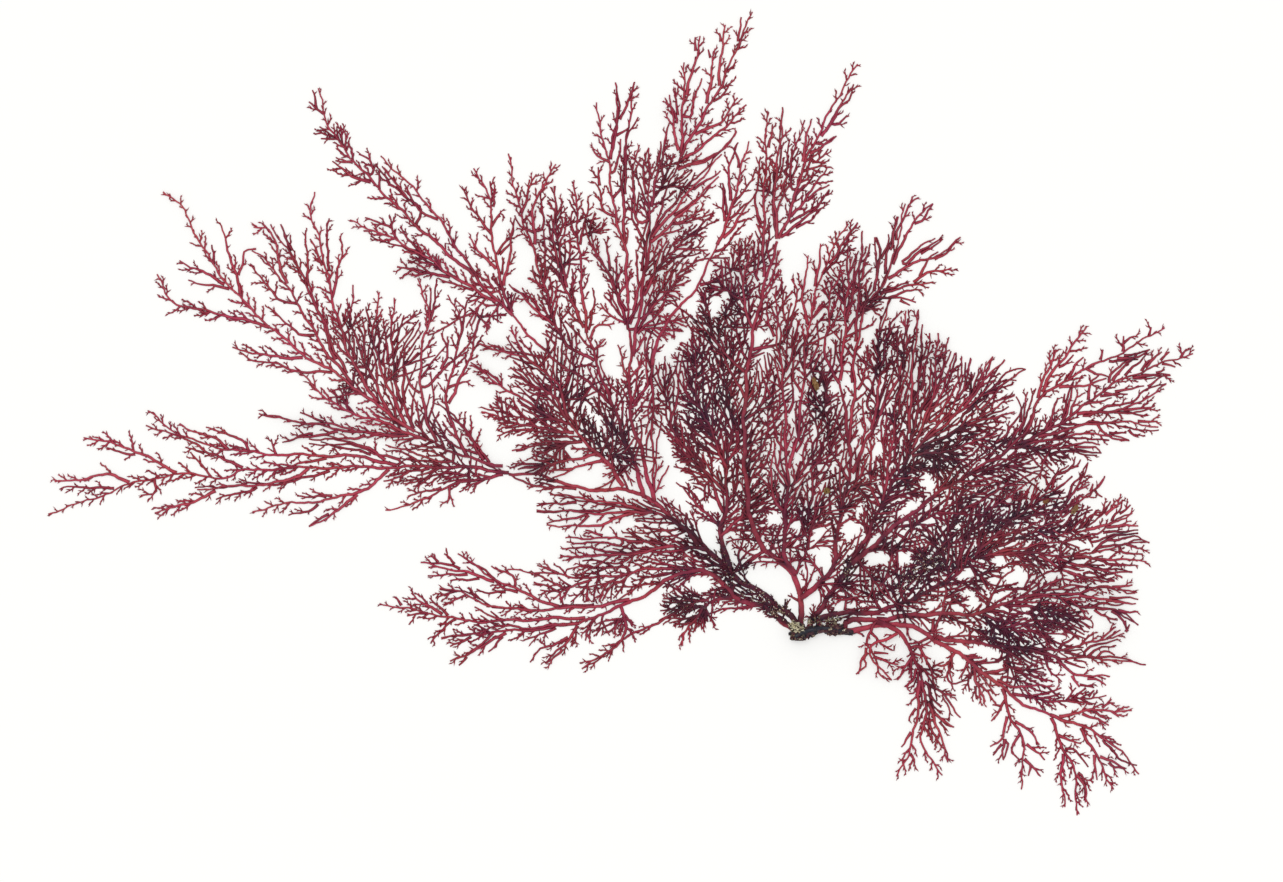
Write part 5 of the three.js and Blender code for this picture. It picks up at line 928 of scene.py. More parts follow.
class Tree:
    """The lines of one frond, its twigs and branchlets, before they are made into a mesh."""

    def __init__(self, name):
        self.name = name
        self.lines = []
        self.twigs = []
        self.barbs = []

    def trace(self, routes, options, rng, field):
        """The lines that are written as routes."""
        known = []
        for kind, width, reach in (("stems", options.stem_width, options.spray_reach),
                                   ("axes", options.axis_width, options.axis_reach),
                                   ("sprays", options.spray_width, options.spray_reach)):
            for points in routes_in(routes[kind]):
                led = anchored(points) if kind == "stems" else points
                points = led if len(led) > len(points) else on_tree(points, known)
                if points is None:
                    continue
                line = wavy(smooth_line(points, LINE_STEP), rng)
                known.append(evenly(line, 0.25 * MM))
                share = stem_share(line[0]) if kind == "stems" else 1
                self.lines.append({"kind": kind, "line": line, "width": width * share, "reach": reach})
                field.mark(field.taken, known[-1], 2)
                field.mark(field.home, evenly(line, 1.2 * MM), HOME_REACH)

    def fill(self, pass_number, less, options, field):
        """Small sprays along the lines where the wanted density, less `less`, asks for them."""
        for entry in list(self.lines):
            line = entry["line"]
            rng = own_draws(line, options.seed, pass_number)
            along = lengths_along(line)
            ahead = headings(line)
            at = rng.uniform(0.3, 1.2) * options.filler_step
            while at < along[-1] - 1.2 * MM:
                spot = np.array([np.interp(at, along, line[:, k]) for k in (0, 1)])
                heading = math.atan2(*[np.interp(at, along, ahead[:, k]) for k in (1, 0)])
                at += options.filler_step * rng.uniform(0.7, 1.3)
                dense = field.wanted[field.cells(spot)]
                if rng.random() > dense - less:
                    continue
                best, least = None, options.overlap * dense + 0.1
                for side in (-1, 1, -1, 1, -1, 1):
                    lean = side * math.radians(rng.uniform(16, 62))
                    curl = -side * rng.uniform(-0.3, 0.8)
                    way = field.path(spot, heading, lean, curl, int(rng.uniform(5, 14)), rng)
                    if len(way) < 5:
                        continue
                    load = field.taken[field.cells(way[3:])].mean()
                    if load < least:
                        best, least = way, load
                if best is not None:
                    field.mark(field.taken, evenly(best[1:], 0.25 * MM), 2)
                    self.lines.append({"kind": "fillers", "line": best, "width": options.spray_width * 0.82,
                                       "reach": options.spray_reach * 0.85})

    def grow_twigs(self, n, entry, options, field):
        """Twigs on both sides of a line in turn, shorter near its ends and where something grows already."""
        line = entry["line"]
        rng = own_draws(line, options.seed, TWIG_DRAWS)
        along = lengths_along(line)
        ahead = headings(line)
        total = along[-1]
        first_side = 1 if rng.random() < 0.5 else -1
        at = rng.uniform(0.5, 1.4) * options.twig_step
        turn = 0
        while at < total - 0.25 * MM:
            foot = np.array([np.interp(at, along, line[:, k]) for k in (0, 1)])
            heading = math.atan2(*[np.interp(at, along, ahead[:, k]) for k in (1, 0)])
            share = at / total
            side = first_side * (-1) ** turn
            turn += 1
            at += options.twig_step * rng.uniform(0.75, 1.25)
            dense = field.wanted[field.cells(foot)]
            chance = min(1, dense) if entry["kind"] == "stems" else 0.95 + 0.5 * min(0, dense)
            if rng.random() > chance:
                continue
            length = entry["reach"] * min(1, 0.4 + 2.4 * share, 0.32 + 2.1 * (1 - share))
            length *= rng.uniform(0.55, 1.15)
            length *= 1 + 0.25 * min(0, dense)
            lean = side * math.radians(rng.uniform(28, 60))
            ahead_way = np.array([math.cos(heading + lean * 0.8), math.sin(heading + lean * 0.8)])
            room = 0.5 + options.twig_overlap * max(0, dense)
            while length > 0.35 * MM:
                spots = foot + ahead_way * np.array([[0.7], [0.95]]) * length
                cells = field.cells(spots)
                near_own = 1 if length < 0.9 * MM else 0
                if field.taken[cells].max() <= room + near_own and field.opening[cells].min() > TWIG_REACH_IN:
                    break
                length *= 0.75
            if length > 0.35 * MM:
                curl = -side * rng.uniform(0.1, 1.0)
                self.add_twig(n, foot, heading + lean, curl, length, options, rng, field)

    def add_twig(self, n, foot, heading, curl, length, options, rng, field):
        """One twig of five stations that curls back along its axis, with branchlets on both sides of it."""
        stations = [foot]
        turned = heading
        for k in range(3):
            turned = heading + curl * (k + 0.5) / 3 + rng.uniform(-0.08, 0.08)
            stations.append(stations[-1] + length / 3 * np.array([math.cos(turned), math.sin(turned)]))
        stations = np.array(stations)
        full = min(1.0, 0.55 + length / (3.2 * MM) * 0.45)
        full *= 0.92 + 0.08 * min(1, field.wanted[field.cells(foot)])
        self.twigs.append((n, stations, options.twig_width * full))
        field.mark(field.taken, stations[1:], 1)
        count = int(length / options.barb_step + 0.35)
        flip = rng.random() < 0.5
        for i in range(count):
            u = (i + 0.75 + rng.uniform(-0.2, 0.2)) / (count + 0.35)
            k = min(2, int(u * 3))
            rest = u * 3 - k
            root = stations[k] + (stations[k + 1] - stations[k]) * rest
            way = math.atan2(*(stations[k + 1] - stations[k])[::-1])
            hand = 1 if (i + flip) % 2 else -1
            reach = options.barb_length * rng.uniform(0.5, 1.15) * (1.1 - 0.55 * u)
            end = root + reach * np.array([math.cos(way), math.sin(way)])
            if field.opening[field.cells(end)] < TWIG_REACH_IN:
                continue
            lean = hand * math.radians(rng.uniform(28, 56))
            curl_back = -hand * rng.uniform(0.0, 0.6)
            self.barbs.append((n, root, way + lean, curl_back, reach, options.barb_width * full))


class BaseHeights:
    """How high the underside of a frond's solid lies, read from the solid's own corners."""

    def __init__(self, node):
        corners = np.array([v.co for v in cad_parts[node].data.vertices])
        self.heights = corners[:, 2]
        self.tree = kdtree.KDTree(len(corners))
        for i, corner in enumerate(corners):
            self.tree.insert((corner[0], corner[1], 0), i)
        self.tree.balance()

    def at(self, points):
        values = []
        for x, y in points:
            found = self.tree.find_n((x, y, 0), 8)
            weights = np.array([1 / (gap + 0.3 * MM) ** 2 for _, _, gap in found])
            heights = self.heights[[index for _, index, _ in found]]
            values.append(float((weights * heights).sum() / weights.sum()))
        return np.maximum(np.array(values) - 0.3 * MM, 0)


class Shape:
    """Corners, faces and per-corner values of a mesh that is gathered ribbon by ribbon."""

    def __init__(self):
        self.corners, self.quads, self.tris, self.values = [], [], [], []
        self.count = 0

    def add(self, corners, quads, tris, values):
        self.corners.append(corners)
        self.quads.append(quads + self.count)
        self.tris.append(tris + self.count)
        self.values.append(values)
        self.count += len(corners)

    def ribbons(self, lines, half_widths, bases, thicknesses, section, tones, rises):
        """Closed ribbons of m lines with n stations each: lines is m x n x 2 and the rest m x n."""
        m, n, _ = lines.shape
        side = np.stack([sideways(headings(line)) for line in lines])
        across, up, crown = (np.array(column, float) for column in zip(*section))
        c = len(section)
        xy = lines[:, :, None, :] + side[:, :, None, :] * (half_widths[:, :, None] * across)[..., None]
        z = bases[:, :, None] + thicknesses[:, :, None] * up
        corners = np.concatenate([xy, z[..., None]], axis=3).reshape(-1, 3)
        ids = np.arange(m * n * c).reshape(m, n, c)
        following = np.roll(ids, -1, axis=2)
        quads = np.stack([ids[:, :-1], ids[:, 1:], following[:, 1:], following[:, :-1]], axis=-1)
        quads = quads.reshape(-1, 4)
        fans = [(0, k, k + 1) for k in range(1, c - 1)]
        first = np.concatenate([ids[:, 0][:, list(f)] for f in fans])
        last = np.concatenate([ids[:, -1][:, list(f)[::-1]] for f in fans])
        given = (crown, tones[:, None, None], rises[:, None, None])
        values = np.stack([np.broadcast_to(v, (m, n, c)) for v in given], axis=-1).reshape(-1, 3)
        self.add(corners, quads, np.vstack([first, last]), values)

    def barbs(self, roots, ways, curls, lengths, widths, bases, thickness, tones, rises):
        """Closed spikes of three stations, the last one a point."""
        m = len(roots)
        middle_way = ways + curls * 0.4
        end_way = ways + curls
        unit = lambda a: np.stack([np.cos(a), np.sin(a)], axis=-1)
        middle = roots + unit(middle_way) * (lengths * 0.5)[:, None]
        end = middle + unit(end_way) * (lengths * 0.5)[:, None]
        rings = []
        for spot, way, width, high in ((roots, ways, widths, 1.0), (middle, middle_way, widths * 0.78, 0.9)):
            side = np.stack([-np.sin(way), np.cos(way)], axis=-1) * (width / 2)[:, None]
            z = bases[:, None]
            rings.append(np.stack([np.hstack([spot - side, z]), np.hstack([spot, z + thickness * high]),
                                   np.hstack([spot + side, z])], axis=1))
        tip = np.hstack([end, bases[:, None] + thickness * 0.3])
        corners = np.concatenate([rings[0], rings[1], tip[:, None]], axis=1).reshape(-1, 3)
        start = np.arange(m)[:, None] * 7
        quads = np.concatenate([start + np.array(q) for q in ((0, 1, 4, 3), (1, 2, 5, 4), (2, 0, 3, 5))])
        tris = np.concatenate([start + np.array(t) for t in ((3, 4, 6), (4, 5, 6), (5, 3, 6), (0, 2, 1))])
        crown = np.tile([0, 0.5, 0, 0, 0.5, 0, 0], m)
        self.add(corners, quads, tris, np.column_stack([crown, np.repeat(tones, 7), np.repeat(rises, 7)]))

    def mesh(self, name):
        corners = np.vstack(self.corners).astype(np.float32)
        quads = np.vstack(self.quads)
        tris = np.vstack(self.tris)
        mesh = bpy.data.meshes.new(name)
        mesh.vertices.add(len(corners))
        mesh.vertices.foreach_set("co", corners.ravel())
        loops = np.concatenate([quads.ravel(), tris.ravel()]).astype(np.int32)
        mesh.loops.add(len(loops))
        mesh.loops.foreach_set("vertex_index", loops)
        sizes = np.concatenate([np.full(len(quads), 4), np.full(len(tris), 3)])
        starts = np.concatenate([[0], np.cumsum(sizes)[:-1]]).astype(np.int32)
        mesh.polygons.add(len(sizes))
        mesh.polygons.foreach_set("loop_start", starts)
        mesh.update(calc_edges=True)
        mesh.validate()
        return mesh


def between(starts, ends, step):
    """Points no more than `step` apart from each start to its end."""
    longest = np.linalg.norm(ends - starts, axis=1).max()
    count = max(2, int(longest / step) + 2)
    t = np.linspace(0, 1, count)[None, :, None]
    return (starts[:, None] * (1 - t) + ends[:, None] * t).reshape(-1, 2)


def soften(grid, spread):
    """The grid blurred over `spread` metres."""
    rows = np.fft.fftfreq(grid.shape[0], CELL)[:, None]
    columns = np.fft.rfftfreq(grid.shape[1], CELL)[None, :]
    fade = np.exp(-2 * (math.pi * spread) ** 2 * (rows**2 + columns**2))
    return np.fft.irfft2(np.fft.rfft2(grid) * fade, s=grid.shape)


class Crowding:
    """How many plumes lie over one another, place by place."""

    def __init__(self, trees, field):
        self.field = field
        grid = np.zeros(field.taken.shape)
        for tree in trees:
            for n, entry in enumerate(tree.lines):
                line = entry["line"]
                side = sideways(headings(line))
                wide = entry["width"] / 2
                marks = [between(line[:-1] + side[:-1] * s * wide, line[1:] + side[1:] * s * wide, CELL / 2)
                         for s in (-0.8, -0.4, 0, 0.4, 0.8)]
                twigs = [t[1] for t in tree.twigs if t[0] == n]
                marks += [between(t[:-1], t[1:], CELL / 2) for t in twigs]
                barbs = [b for b in tree.barbs if b[0] == n]
                if barbs:
                    roots = np.array([b[1] for b in barbs])
                    ends = roots + np.array([[math.cos(b[2]) * b[4], math.sin(b[2]) * b[4]] for b in barbs])
                    marks.append(between(roots, ends, CELL / 2))
                cells = np.unique(np.column_stack(field.cells(np.vstack(marks))), axis=0)
                grid[cells[:, 0], cells[:, 1]] += 1
        self.near = soften(grid, NEAR_SPREAD)
        self.wide = soften(grid, WIDE_SPREAD)

    def at(self, points, low_strand_shade):
        """Painted shade of the layers that lie over a strand at the points, deeper for a low strand, with the
        stains and painted thicket shade there added.
        """
        cells = self.field.cells(points)
        near = self.near[cells]
        wide = self.wide[cells]
        # Painted shade: the more layers lie over one another near a point, the darker it is.
        layers = np.clip(0.38 * (near - 0.85), 0, 0.8) + np.clip(0.2 * (wide - 0.55), 0, 0.45)
        return layers * low_strand_shade + 0.8 * self.field.stained[cells]


def frond_shape(tree, heights, options, rng):
    """The mesh data of one frond."""
    shape = Shape()
    share = options.layer_share
    rises = np.array([own_draws(entry["line"], options.seed, RISE_DRAWS).random() for entry in tree.lines])
    lifts = rises * 0.14 * MM
    tones = FROND_TONES[tree.name] - 0.15 + 0.6 * (rises - 0.5)
    tones = np.clip(tones + rng.uniform(-0.12, 0.12, len(rises)), 0, 1)
    for n, entry in enumerate(tree.lines):
        line = entry["line"]
        u = np.linspace(0, 1, len(line))
        stem = entry["kind"] == "stems"
        tip = entry["width"] * 0.48 if stem else options.tip_width
        widths = entry["width"] + (tip - entry["width"]) * u ** (1.0 if stem else 0.75)
        widths = widths * (1 + 0.06 * np.sin(9.3 * n + lengths_along(line) / (1.3 * MM)))
        thick = (0.34 * MM if stem else 0.24 * MM) * (widths / widths[0]) ** 0.5
        base = heights.at(line) * share + lifts[n]
        section = SECTIONS[entry["kind"]]
        shape.ribbons(line[None], widths[None] / 2, base[None], thick[None], section,
                      tones[n:n + 1], rises[n:n + 1])
    if tree.twigs:
        owners = np.array([t[0] for t in tree.twigs])
        lines = np.array([t[1] for t in tree.twigs])
        widths = np.array([t[2] for t in tree.twigs])[:, None] * np.linspace(1, 0.42, 4)
        base = heights.at(lines.reshape(-1, 2)).reshape(len(lines), 4) * share + lifts[owners][:, None]
        thick = np.broadcast_to(np.linspace(0.2, 0.1, 4) * MM, widths.shape)
        tones_here = np.clip(tones[owners] + rng.uniform(-0.15, 0.15, len(owners)), 0, 1)
        shape.ribbons(lines, widths / 2, base, thick, TWIG_SECTION, tones_here, rises[owners])
    if tree.barbs:
        owners = np.array([b[0] for b in tree.barbs])
        roots = np.array([b[1] for b in tree.barbs])
        ways, curls, lengths, widths = (np.array([b[k] for b in tree.barbs]) for k in (2, 3, 4, 5))
        base = heights.at(roots) * share + lifts[owners]
        tones_here = np.clip(tones[owners] + rng.uniform(-0.2, 0.2, len(owners)), 0, 1)
        shape.barbs(roots, ways, curls, lengths, widths, base, 0.12 * MM, tones_here, rises[owners])
    return shape


def point_values(mesh, name, values):
    layer = mesh.attributes.new(name, "FLOAT", "POINT")
    layer.data.foreach_set("value", np.asarray(values, np.float32))


def add_piece(name, mesh, material, slot_name, *nodes):
    piece = bpy.data.objects.new(name, mesh)
    bpy.context.scene.collection.objects.link(piece)
    mesh.materials.append(material)
    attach(piece, "root")
    if nodes:
        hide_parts(*nodes)
    return piece


def socket_group(name, inputs, outputs):
    """A shader node group with its sockets, and its input and output nodes."""
    group = bpy.data.node_groups.new(name, "ShaderNodeTree")
    for label, kind, default in inputs:
        socket = group.interface.new_socket(label, in_out="INPUT", socket_type=kind)
        socket.default_value = default
    for label, kind in outputs:
        group.interface.new_socket(label, in_out="OUTPUT", socket_type=kind)
    return group, group.nodes.new("NodeGroupInput"), group.nodes.new("NodeGroupOutput")


def noise_node(tree, scale, detail, roughness=0.55):
    place = tree.nodes.new("ShaderNodeTexCoord")
    node = tree.nodes.new("ShaderNodeTexNoise")
    node.inputs["Scale"].default_value = scale
    node.inputs["Detail"].default_value = detail
    node.inputs["Roughness"].default_value = roughness
    tree.links.new(place.outputs["Object"], node.inputs["Vector"])
    return node


def mix_colour(tree, blend, share, first, second):
    """A colour mix node. Each of share, first and second is a socket or a plain value."""
    node = tree.nodes.new("ShaderNodeMix")
    node.data_type = "RGBA"
    node.blend_type = blend
    node.clamp_factor = True
    for index, value in ((0, share), (6, first), (7, second)):
        if isinstance(value, bpy.types.NodeSocket):
            tree.links.new(value, node.inputs[index])
        elif index == 0:
            node.inputs[index].default_value = value
        else:
            node.inputs[index].default_value = (*value, 1)
    return node.outputs[2]


def value_node(tree, operation, *values):
    node = tree.nodes.new("ShaderNodeMath")
    node.operation = operation
    for index, value in enumerate(values):
        if isinstance(value, bpy.types.NodeSocket):
            tree.links.new(value, node.inputs[index])
        else:
            node.inputs[index].default_value = value
    return node.outputs[0]


def ranged(tree, value, low, high, to_low=0.0, to_high=1.0):
    node = tree.nodes.new("ShaderNodeMapRange")
    for name, number in (("From Min", low), ("From Max", high), ("To Min", to_low), ("To Max", to_high)):
        node.inputs[name].default_value = number
    tree.links.new(value, node.inputs["Value"])
    return node.outputs["Result"]


def dried_mottle_group():
    """Blotches and fine grain of a dried surface: a tinted colour and a relief."""
    name = "dried_mottle"
    if name in bpy.data.node_groups:
        return bpy.data.node_groups[name]
    group, inside, outside = socket_group(
        name,
        (("Colour", "NodeSocketColor", (0.5, 0.5, 0.5, 1)), ("Blotches", "NodeSocketFloat", 0.5),
         ("Grain", "NodeSocketFloat", 0.5)),
        (("Colour", "NodeSocketColor"), ("Relief", "NodeSocketFloat")),
    )
    blotches = noise_node(group, 900, 3)
    grain = noise_node(group, 5200, 2)
    wash = noise_node(group, 120, 2)
    blotched = ranged(group, blotches.outputs["Fac"], 0.42, 0.7)
    dark = value_node(group, "MULTIPLY", blotched, inside.outputs["Blotches"])
    deeper = mix_colour(group, "MULTIPLY", dark, inside.outputs["Colour"], (0.42, 0.3, 0.34))
    grainy = ranged(group, grain.outputs["Fac"], 0.45, 0.7)
    fine = value_node(group, "MULTIPLY", grainy, inside.outputs["Grain"])
    grained = mix_colour(group, "MULTIPLY", fine, deeper, (0.6, 0.5, 0.52))
    washed = mix_colour(group, "SOFT_LIGHT", 0.35, grained, wash.outputs["Color"])
    group.links.new(washed, outside.inputs["Colour"])
    fine_relief = value_node(group, "MULTIPLY", grain.outputs["Fac"], 0.6)
    both = value_node(group, "ADD", blotches.outputs["Fac"], fine_relief)
    group.links.new(both, outside.inputs["Relief"])
    return group


def new_material(name):
    material = bpy.data.materials.new(name)
    material.use_nodes = True
    tree = material.node_tree
    return material, tree, tree.nodes["Principled BSDF"]


def mottle_into(tree, shader, colour, blotches, grain, depth):
    """Puts the dried mottle between a colour socket or value and the shader, with its relief as a bump."""
    mottle = tree.nodes.new("ShaderNodeGroup")
    mottle.node_tree = dried_mottle_group()
    mottle.inputs["Blotches"].default_value = blotches
    mottle.inputs["Grain"].default_value = grain
    if isinstance(colour, bpy.types.NodeSocket):
        tree.links.new(colour, mottle.inputs["Colour"])
    else:
        mottle.inputs["Colour"].default_value = (*colour, 1)
    tree.links.new(mottle.outputs["Colour"], shader.inputs["Base Color"])
    bump = tree.nodes.new("ShaderNodeBump")
    bump.inputs["Distance"].default_value = depth
    bump.inputs["Strength"].default_value = 0.5
    tree.links.new(mottle.outputs["Relief"], bump.inputs["Height"])
    tree.links.new(bump.outputs["Normal"], shader.inputs["Normal"])
    return mottle


def attribute_value(tree, name):
    node = tree.nodes.new("ShaderNodeAttribute")
    node.attribute_name = name
    return node.outputs["Fac"]


def membrane_material():
    """The dried membrane: rose along broad axes, crimson at rims, and painted shade of near-black plum where
    layers crowd.
    """
    name = "dried_membrane"
    if name in bpy.data.materials:
        return bpy.data.materials[name]
    colours = settings("colours")
    material, tree, shader = new_material(name)
    crown = attribute_value(tree, "crown")
    tone = attribute_value(tree, "tone")
    crowding = attribute_value(tree, "crowding")
    membrane = mix_colour(tree, "MIX", crown, colours.rim[:], colours.crown[:])
    lighter = mix_colour(tree, "MIX", value_node(tree, "MULTIPLY", tone, 0.55), membrane, (0.56, 0.09, 0.125))
    # Painted shade colour of stacked layers, flecked bluish by noise.
    bluish_layer_shade = mix_colour(tree, "MIX", ranged(tree, noise_node(tree, 1500, 2).outputs["Fac"], 0.45, 0.65),
                        colours.layer_shade_colour[:], (0.06, 0.024, 0.042))
    # Painted shade of the layers over a strand, with its stains and painted thicket shade, pulls the membrane
    # towards near-black plum.
    shaded = mix_colour(tree, "MIX", crowding, lighter, bluish_layer_shade)
    mottle_into(tree, shader, shaded, 0.5, 0.35, 0.05 * MM)
    shader.inputs["Roughness"].default_value = 0.56
    shader.inputs["Specular IOR Level"].default_value = 0.12
    return material


def holdfast_material():
    """Dried holdfast: blue-black with brown and dark red patches."""
    name = "dried_holdfast"
    if name in bpy.data.materials:
        return bpy.data.materials[name]
    material, tree, shader = new_material(name)
    stain = noise_node(tree, 620, 4)
    stained = mix_colour(tree, "MIX", ranged(tree, stain.outputs["Fac"], 0.44, 0.6),
                         settings("colours").holdfast[:], (0.10, 0.03, 0.04))
    dust = noise_node(tree, 1900, 3)
    dusting = ranged(tree, dust.outputs["Fac"], 0.56, 0.7, 0, 0.8)
    dusty = mix_colour(tree, "MIX", dusting, stained, (0.26, 0.19, 0.12))
    mottle_into(tree, shader, dusty, 0.6, 0.6, 0.15 * MM)
    shader.inputs["Roughness"].default_value = 0.6
    shader.inputs["Specular IOR Level"].default_value = 0.25
    return material


def ridge_material():
    """The smooth blue-black root that runs over the holdfast."""
    material, tree, shader = new_material("smooth_root")
    mottle_into(tree, shader, (0.0085, 0.009, 0.02), 0.5, 0.5, 0.06 * MM)
    shader.inputs["Roughness"].default_value = 0.4
    shader.inputs["Specular IOR Level"].default_value = 0.35
    return material


def crumb_material(name, colour, second, third):
    """Crumbs of three colours: each crumb has its own tone."""
    material, tree, shader = new_material(name)
    tone = attribute_value(tree, "tone")
    mixed = mix_colour(tree, "MIX", ranged(tree, tone, 0.36, 0.44), colour, second)
    mixed = mix_colour(tree, "MIX", ranged(tree, tone, 0.64, 0.7), mixed, third)
    mottle_into(tree, shader, mixed, 0.6, 0.7, 0.08 * MM)
    shader.inputs["Roughness"].default_value = 0.85
    shader.inputs["Specular IOR Level"].default_value = 0.1
    return material


class SEAWEED_OT_fronds(bpy.types.Operator):
    """Build every frond with its twigs and branchlets"""

    bl_idname = "seaweed.fronds"
    bl_label = "Fronds"
    bl_options = {"REGISTER", "UNDO"}

    def execute(self, context):
        options = settings("fronds")
        rng = np.random.default_rng(options.seed)
        field = Field()
        trees = [Tree(name) for name in FROND_ROUTES]
        for tree in trees:
            tree.trace(FROND_ROUTES[tree.name], options, rng, field)
        for pass_number, less in enumerate((0, 0.2, 0.5, 0.8, 1.1)):
            for tree in trees:
                tree.fill(pass_number, less, options, field)
        for tree in trees:
            for n, entry in enumerate(tree.lines):
                tree.grow_twigs(n, entry, options, field)
        # Counts of layers lying over one another, for the painted shade of the membrane.
        crowding = Crowding(trees, field)
        material = membrane_material()
        for tree in trees:
            shape = frond_shape(tree, BaseHeights(tree.name), options, rng)
            mesh = shape.mesh("fine_" + tree.name)
            corners = np.vstack(shape.corners)
            values = np.vstack(shape.values)
            point_values(mesh, "crown", values[:, 0])
            point_values(mesh, "tone", values[:, 1])
            # Painted shade: a low strand is shaded more by the layers above it.
            low_strand_shade = 1.3 - 0.85 * values[:, 2]
            point_values(mesh, "crowding", np.clip(crowding.at(corners[:, :2], low_strand_shade), 0, 1))
            add_piece("fine_" + tree.name, mesh, material, "frond", tree.name)
        return {"FINISHED"}


# The holdfast's lobes in millimetres: middle, half sizes and turn about Z.
LOBES = (
    ((-0.6, -0.2, 0.9), (1.7, 1.1, 1.7), 0.15),
    ((-0.9, 0.9, 0.7), (1.35, 0.95, 1.4), -0.2),
    ((1.2, 0.3, 0.7), (1.8, 0.9, 1.5), 0.35),
    ((3.1, 0.7, 0.5), (1.6, 0.7, 1.1), 0.1),
    ((5.2, 0.7, 0.5), (1.7, 1.0, 1.2), 0.05),
    ((7.2, 0.3, 0.3), (1.8, 0.6, 0.9), -0.1),
)


def lumpy_ball(bm, middle, size, turn, detail, roughness, pitch):
    """Adds a ball to bm, lumpy and cut off flat at the floor."""
    made = bmesh.ops.create_icosphere(bm, subdivisions=detail, radius=1)["verts"]
    spin = Matrix.Rotation(turn, 3, "Z")
    for vert in made:
        vert.co *= 1 + roughness * noise.fractal(vert.co * pitch + Vector(middle), 0.6, 2.2, 4)
        vert.co = spin @ Vector(a * b for a, b in zip(vert.co, size)) + Vector(middle)
        vert.co *= MM
        vert.co.z = min(max(vert.co.z, 0), CAD_BOX[1][2])
    return made


def joined_volume(name, bm, voxel):
    """One closed skin round everything in bm."""
    rough = bpy.data.meshes.new(name + "_rough")
    bm.to_mesh(rough)
    bm.free()
    holder = bpy.data.objects.new(name + "_rough", rough)
    bpy.context.scene.collection.objects.link(holder)
    remesh = holder.modifiers.new("skin", "REMESH")
    remesh.mode = "VOXEL"
    remesh.voxel_size = voxel
    smooth = holder.modifiers.new("smooth", "SMOOTH")
    smooth.iterations = 1
    deps = bpy.context.evaluated_depsgraph_get()
    mesh = bpy.data.meshes.new_from_object(holder.evaluated_get(deps))
    mesh.name = name
    bpy.data.objects.remove(holder)
    bpy.data.meshes.remove(rough)
    return mesh


class SEAWEED_OT_holdfast(bpy.types.Operator):
    """Build the gnarled holdfast with its root stub"""

    bl_idname = "seaweed.holdfast"
    bl_label = "Holdfast"
    bl_options = {"REGISTER", "UNDO"}

    def execute(self, context):
        bm = bmesh.new()
        for middle, size, turn in LOBES:
            lumpy_ball(bm, middle, size, turn, 5, 0.3, 2.3)
        mesh = joined_volume("gnarled_holdfast", bm, 0.07 * MM)
        low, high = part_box("holdfast")
        for vert in mesh.vertices:
            vert.co = Vector(min(max(c, a), b) for c, a, b in zip(vert.co, low, high))
        mesh.update()
        add_piece("gnarled_holdfast", mesh, holdfast_material(), "holdfast", "holdfast")
        return {"FINISHED"}


# The smooth root over the holdfast: x, y and width, in millimetres.
ROOT = ((-1.95, -0.85, 0.6), (-1.25, -0.5, 0.95), (-0.35, 0.0, 0.8), (0.75, 0.42, 0.66), (1.7, 0.66, 0.62),
        (2.8, 0.88, 0.6), (3.7, 0.85, 0.52), (4.7, 0.85, 0.42), (5.6, 0.6, 0.34), (6.6, 0.5, 0.3))


class SEAWEED_OT_root(bpy.types.Operator):
    """Build the smooth root that runs over the holdfast"""

    bl_idname = "seaweed.root"
    bl_label = "Root"
    bl_options = {"REGISTER", "UNDO"}

    def execute(self, context):
        holdfast = bpy.data.objects["gnarled_holdfast"]
        rule = np.array(ROOT) * MM
        line = smooth_line(rule[:, :2], 0.18 * MM)
        share = np.interp(line[:, 0], rule[:, 0], rule[:, 2])
        tops = []
        for x, y in line:
            hit, place, _, _ = holdfast.ray_cast(Vector((x, y, RAY_HEIGHT * MM)), DOWN)
            tops.append(place.z if hit else 0.4 * MM)
        tops = np.convolve(np.pad(tops, 4, mode="edge"), np.ones(9) / 9, mode="valid")
        _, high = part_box("holdfast")
        ring = np.linspace(0, 2 * math.pi, 13)[:-1]
        section = [(math.cos(a), 0.5 + 0.5 * math.sin(a), 1) for a in ring[::-1]]
        thick = share * 0.75
        bases = np.minimum(tops - thick * 0.55, high.z - thick)
        shape = Shape()
        even = np.array([0.5])
        shape.ribbons(line[None], share[None] / 2, bases[None], thick[None], section, even, even)
        mesh = shape.mesh("smooth_root")
        mesh.shade_smooth()
        add_piece("smooth_root", mesh, ridge_material(), "holdfast")
        return {"FINISHED"}


# Patches of crumbs in millimetres: middle, half spread, how many, and how large.
PALE_CRUMBS = (
    ((-1.7, 1.4), (0.75, 0.6), 120, 0.17), ((-0.6, 0.9), (0.6, 0.6), 90, 0.16),
    ((-1.2, 0.6), (0.8, 0.5), 40, 0.14), ((0.9, 1.9), (0.7, 0.45), 70, 0.14),
    ((5.0, 2.2), (1.0, 0.5), 70, 0.14), ((4.6, 0.8), (0.3, 0.25), 14, 0.16),
    ((7.0, 0.4), (0.25, 0.2), 8, 0.15), ((-0.4, -1.05), (0.4, 0.15), 16, 0.12),
    ((1.7, -0.6), (0.6, 0.25), 26, 0.13), ((3.9, 1.7), (0.7, 0.4), 30, 0.13),
    ((-4.0, 4.0), (1.8, 1.5), 60, 0.12), ((-7.0, 6.4), (2.0, 1.6), 44, 0.11),
    ((-5.0, 3.4), (1.2, 0.9), 20, 0.1), ((5.8, -0.5), (0.8, 0.25), 16, 0.12),
    ((7.6, 10.5), (0.9, 1.8), 22, 0.12), ((21, 12), (3.5, 2.2), 60, 0.11),
    ((18, 8.5), (2.5, 1.4), 30, 0.11), ((6.3, 2.2), (0.7, 0.6), 26, 0.13),
)
